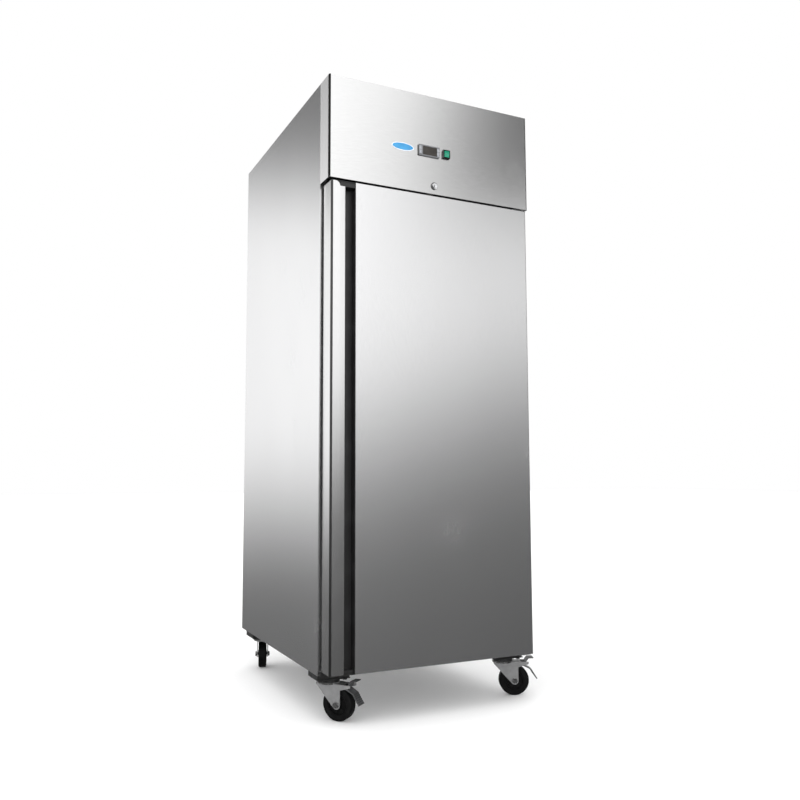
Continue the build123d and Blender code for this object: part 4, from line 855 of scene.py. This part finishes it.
def buildLockRing(low, high, make):
    middle = (low + high) / 2
    radius = (high.x - low.x) / 2
    ring = addDisc(radius, frontY - low.y, make["sides"])
    ring.data.transform(Matrix.Rotation(math.radians(-90), 4, "Z"))
    ring.data.transform(Matrix.Translation((middle.x, (low.y + frontY) / 2, middle.z)))
    # the bright collar sits a little off the middle of the rosette, whose dark plating is
    # painted shade, so a painted shadow crescent shows on its left and top
    edit(ring)
    pickFaces(ring, lambda spot, normal: normal.y < -0.9)
    for inset, shift in make["steps"]:
        bpy.ops.mesh.inset(thickness=inset)
        bpy.ops.transform.translate(value=shift)
    leaveEdit()
    rim = radius - make["edgeBand"]
    bevelEdges(ring, make["edge"], 3, lambda spot, along: abs(along.y) < 0.1
               and Vector((spot.x - middle.x, spot.z - middle.z)).length > rim)
    for look in ("lock_painted_shade", "lock_chrome"):
        ring.data.materials.append(finishes[look])
    collar = middle + Vector((make["offset"][0], 0, make["offset"][2]))
    markFaces(ring, 1, lambda spot, normal: normal.y < -0.5 and make["collar"][0]
              < Vector((spot.x - collar.x, spot.z - collar.z)).length < make["collar"][1])
    return ring


# slotHalf is half the key slot's width and height; spare keeps its marked faces apart
faceMake = {"steps": [(0.0006, 0.0), (0.0004, -0.0002), (0.0008, 0.0)],
            "slotHalf": (0.0011, 0.0042), "slotFront": 0.001, "slotDeep": 0.006,
            "slotEdge": 0.0009, "spare": 0.0001, "shade": (0.0005, 0.007)}


def buildLockFace(make):
    # turning face with its key slot sunk in
    low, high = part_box("lock_plug")
    middle = (low + high) / 2
    radius = (high.x - low.x) / 2
    face = addDisc(radius, high.y - low.y)
    face.data.transform(Matrix.Rotation(math.radians(-90), 4, "Z"))
    face.data.transform(Matrix.Translation(middle))
    stepFace(face, (0, -1, 0), make["steps"])
    halfX, halfZ = make["slotHalf"]
    slot = addBox((middle.x - halfX, low.y - make["slotFront"], middle.z - halfZ),
                  (middle.x + halfX, low.y + make["slotDeep"], middle.z + halfZ))
    bevelEdges(slot, make["slotEdge"], 3, lambda spot, along: abs(along.y) > 0.9)
    applyModifier(face, "BOOLEAN", {"operation": "DIFFERENCE", "object": slot,
                                    "solver": "EXACT"})
    bpy.data.objects.remove(slot)
    face.data.materials.clear()
    for look in ("lock_chrome", "black_plastic"):
        face.data.materials.append(finishes[look])
    # the slot's walls take black: painted shade down inside the slot
    nearY, farY = (low.y + depth for depth in make["shade"])
    markFaces(face, 1, lambda spot, normal: nearY < spot.y < farY
              and abs(spot.x - middle.x) < halfX + make["spare"]
              and abs(spot.z - middle.z) < halfZ + make["spare"])
    return face


settle(buildLockRing(lockLow, lockHigh, lockMake), "lockRing", "lock_barrel", "lock_chrome",
       ["lock_barrel"])
settle(buildLockFace(faceMake), "lockFace", "lock_plug", "lock_chrome", ["lock_plug"])
settle(dressed("lock_bolt", "bolt", 0.0004), "lockBolt", "lock_bolt", "zinc", ["lock_bolt"])
print("controls ready")

# ---- door gasket: soft hollow strip with ribs, mitred round the door

gasketMake = {"edge": 0.0006,
              "inset": [(0.0022, -0.0012), (0.0016, 0.0012), (0.0020, 0.0),
                        (0.0016, -0.0014), (0.0014, 0.0014)]}


def buildGasket(make):
    strip = dressed("door_gasket", "gasket", 0)
    edit(strip)
    pickFaces(strip, lambda middle, normal: normal.y > 0.9)
    for inset, push in make["inset"]:
        bpy.ops.mesh.inset(thickness=inset, use_boundary=True)
        bpy.ops.transform.translate(value=(0, push, 0))
    leaveEdit()
    applyModifier(strip, "BEVEL", {"width": make["edge"], "segments": 2,
                                   "limit_method": "ANGLE"})
    return strip


settle(buildGasket(gasketMake), "doorGasket", "door_gasket", "gasket_rubber", ["door_gasket"])
print("gasket ready")

# ---- wire guard over the evaporator fan

guardMake = {"rings": 5, "first": 0.012, "reach": 0.054, "wire": 0.0009, "spokes": 4,
             "stand": 0.0022, "boss": 0.7, "bossDepth": 3, "bossSides": 28}


def buildGuard(make):
    # round wires on crossed spokes, with a small disc in the middle
    parts = []
    pitch = (make["reach"] - make["first"]) / (make["rings"] - 1)
    for index in range(make["rings"]):
        selectNone()
        bpy.ops.mesh.primitive_torus_add(major_radius=make["first"] + index * pitch,
                                         minor_radius=make["wire"], major_segments=56,
                                         minor_segments=8, rotation=(math.radians(90), 0, 0))
        bpy.ops.object.transform_apply(location=True, rotation=True, scale=True)
        parts.append(bpy.context.object)
    for index in range(make["spokes"]):
        spoke = addDisc(make["wire"], 2 * make["reach"], 8)
        turn = Matrix.Rotation(math.pi * index / make["spokes"], 4, "Y")
        spoke.data.transform(turn @ Matrix.Translation((0, -make["wire"], 0)))
        parts.append(spoke)
    boss = addDisc(make["first"] * make["boss"], make["bossDepth"] * make["wire"],
                   make["bossSides"])
    boss.data.transform(Matrix.Rotation(math.radians(90), 4, "Z"))
    bevelEdges(boss, make["wire"] / 2, 2, lambda middle, along: abs(along.y) < 0.1)
    guard = joined([*parts, boss])
    fanLow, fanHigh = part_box("evaporator_fan")
    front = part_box("evaporator_cover")[0].y - make["stand"]
    middle = (fanLow + fanHigh) / 2
    guard.data.transform(Matrix.Translation((middle.x, front, middle.z)))
    return guard


settle(buildGuard(guardMake), "fanGuard", "evaporator_cover", "chrome_wire")
print("fan guard ready")

# ---- studio

studio = {
    "floorSize": 60.0, "paperDark": tone(0.93), "paperLight": tone(0.97), "paperGrain": 90.0,
    "paperRoughness": 0.9, "paperBump": 0.04, "paperDepth": 0.0004,
    "keySize": 4.0, "keyPlace": (-1.0, -1.2, 5.5), "keyPower": 60.0, "keyAim": (0, 0, 0.8),
    "surround": 1.10, "lowFill": 3.5, "fillRange": (0.18, 0.42),
}
bpy.context.scene.view_settings.view_transform = "Standard"

selectNone()
bpy.ops.mesh.primitive_plane_add(size=studio["floorSize"], location=(0, 0, 0))
floor = bpy.context.object
floor.name = "studioFloor"
floorFinish = Finish("floorPaper", {})
paper = floorFinish.noise(studio["paperGrain"], detail=6.0)
speck = floorFinish.mix(paper, studio["paperDark"], studio["paperLight"])
floor.data.materials.append(floorFinish.paint(speck, studio["paperRoughness"], paper,
                                              studio["paperBump"], studio["paperDepth"]))
floor.visible_glossy = False

bpy.ops.object.light_add(type="AREA", location=studio["keyPlace"])
keyLight = bpy.context.object
keyLight.data.size = studio["keySize"]
keyLight.data.energy = studio["keyPower"]
keyLight.visible_glossy = False
aim = Vector(studio["keyAim"]) - keyLight.location
keyLight.rotation_euler = aim.to_track_quat("-Z", "Y").to_euler()

surround = bpy.data.worlds.new("softRoom")
bpy.context.scene.world = surround
surround.use_nodes = True
room = Net(surround.node_tree)
view = room.node("SeparateXYZ", {}, {0: room.node("TexCoord").outputs["Generated"]})
toRight, toBack, rise = (Signal(room, view.outputs[k]) for k in range(3))
# what bare steel mirrors: a bright wall over a dark floor, ahead of the door and beside it.
# Each entry eases between two directions, with the brightness at either end where it has four.
wall = {
    "aheadRise": (-0.08, 0.15, 0.105, 1.54),
    "aheadSide": (0.28, 0.55, 1.0, 0.77),
    # the floor line climbs a little towards the right
    "lean": (0.36, 0.60, 0.0, 0.085),
    # the dark corner high up on the right
    "cornerSide": (0.40, 0.53),
    "cornerRise": (0.30, 0.35, 0.12, 0.97),
    "besideRise": (-0.155, 0.07, 0.14, 1.17),
    "besideTop": (0.28, 0.42, 1.0, 0.13),
    "besideDepth": (-0.36, -0.26, 1.09, 0.87),
    "turn": (-0.2, 0.3),
}
lean = room.ramp(toRight, *wall["lean"])
corner = room.ramp(toRight, *wall["cornerSide"]) * room.ramp(rise, *wall["cornerRise"])
ahead = room.ramp(rise - lean, *wall["aheadRise"]) * (1 - corner)
ahead = ahead * room.ramp(toRight, *wall["aheadSide"])
beside = room.ramp(rise, *wall["besideRise"]) * room.ramp(rise, *wall["besideTop"])
beside = beside * room.ramp(toRight, *wall["besideDepth"])
mirrored = room.blend(room.ramp(toBack, *wall["turn"]), ahead, beside)
ray = room.node("LightPath")
glossy = Signal(room, ray.outputs["Is Glossy Ray"])
fill = room.ramp(rise, *studio["fillRange"], studio["lowFill"], studio["surround"])
shade = room.blend(glossy, fill, mirrored)
seen = Signal(room, ray.outputs["Is Camera Ray"])
background = surround.node_tree.nodes["Background"]
background.inputs["Color"].default_value = tone(1)
room.feed(background.inputs["Strength"], room.blend(seen, shade, 1.0))

camera = {
    "place": (-1.2325, -2.6296, 0.7355),
    "right": (0.90555, -0.42423, -0.00061),
    "up": (-0.03797, -0.08247, 0.99587),
    "ahead": (0.42252723, 0.90179196, 0.09078544),
    "sensor": 36.0, "lens": 35.286, "shiftX": 0.0306, "shiftY": 0.00565,
}
bpy.ops.object.camera_add(location=camera["place"])
lookout = bpy.context.object
axes = Matrix((camera["right"], camera["up"], -Vector(camera["ahead"]))).transposed()
lookout.rotation_mode = "QUATERNION"
lookout.rotation_quaternion = axes.to_quaternion()
lookout.data.sensor_width = camera["sensor"]
lookout.data.lens = camera["lens"]
lookout.data.shift_x = camera["shiftX"]
lookout.data.shift_y = camera["shiftY"]
bpy.context.scene.camera = lookout
print("studio ready")
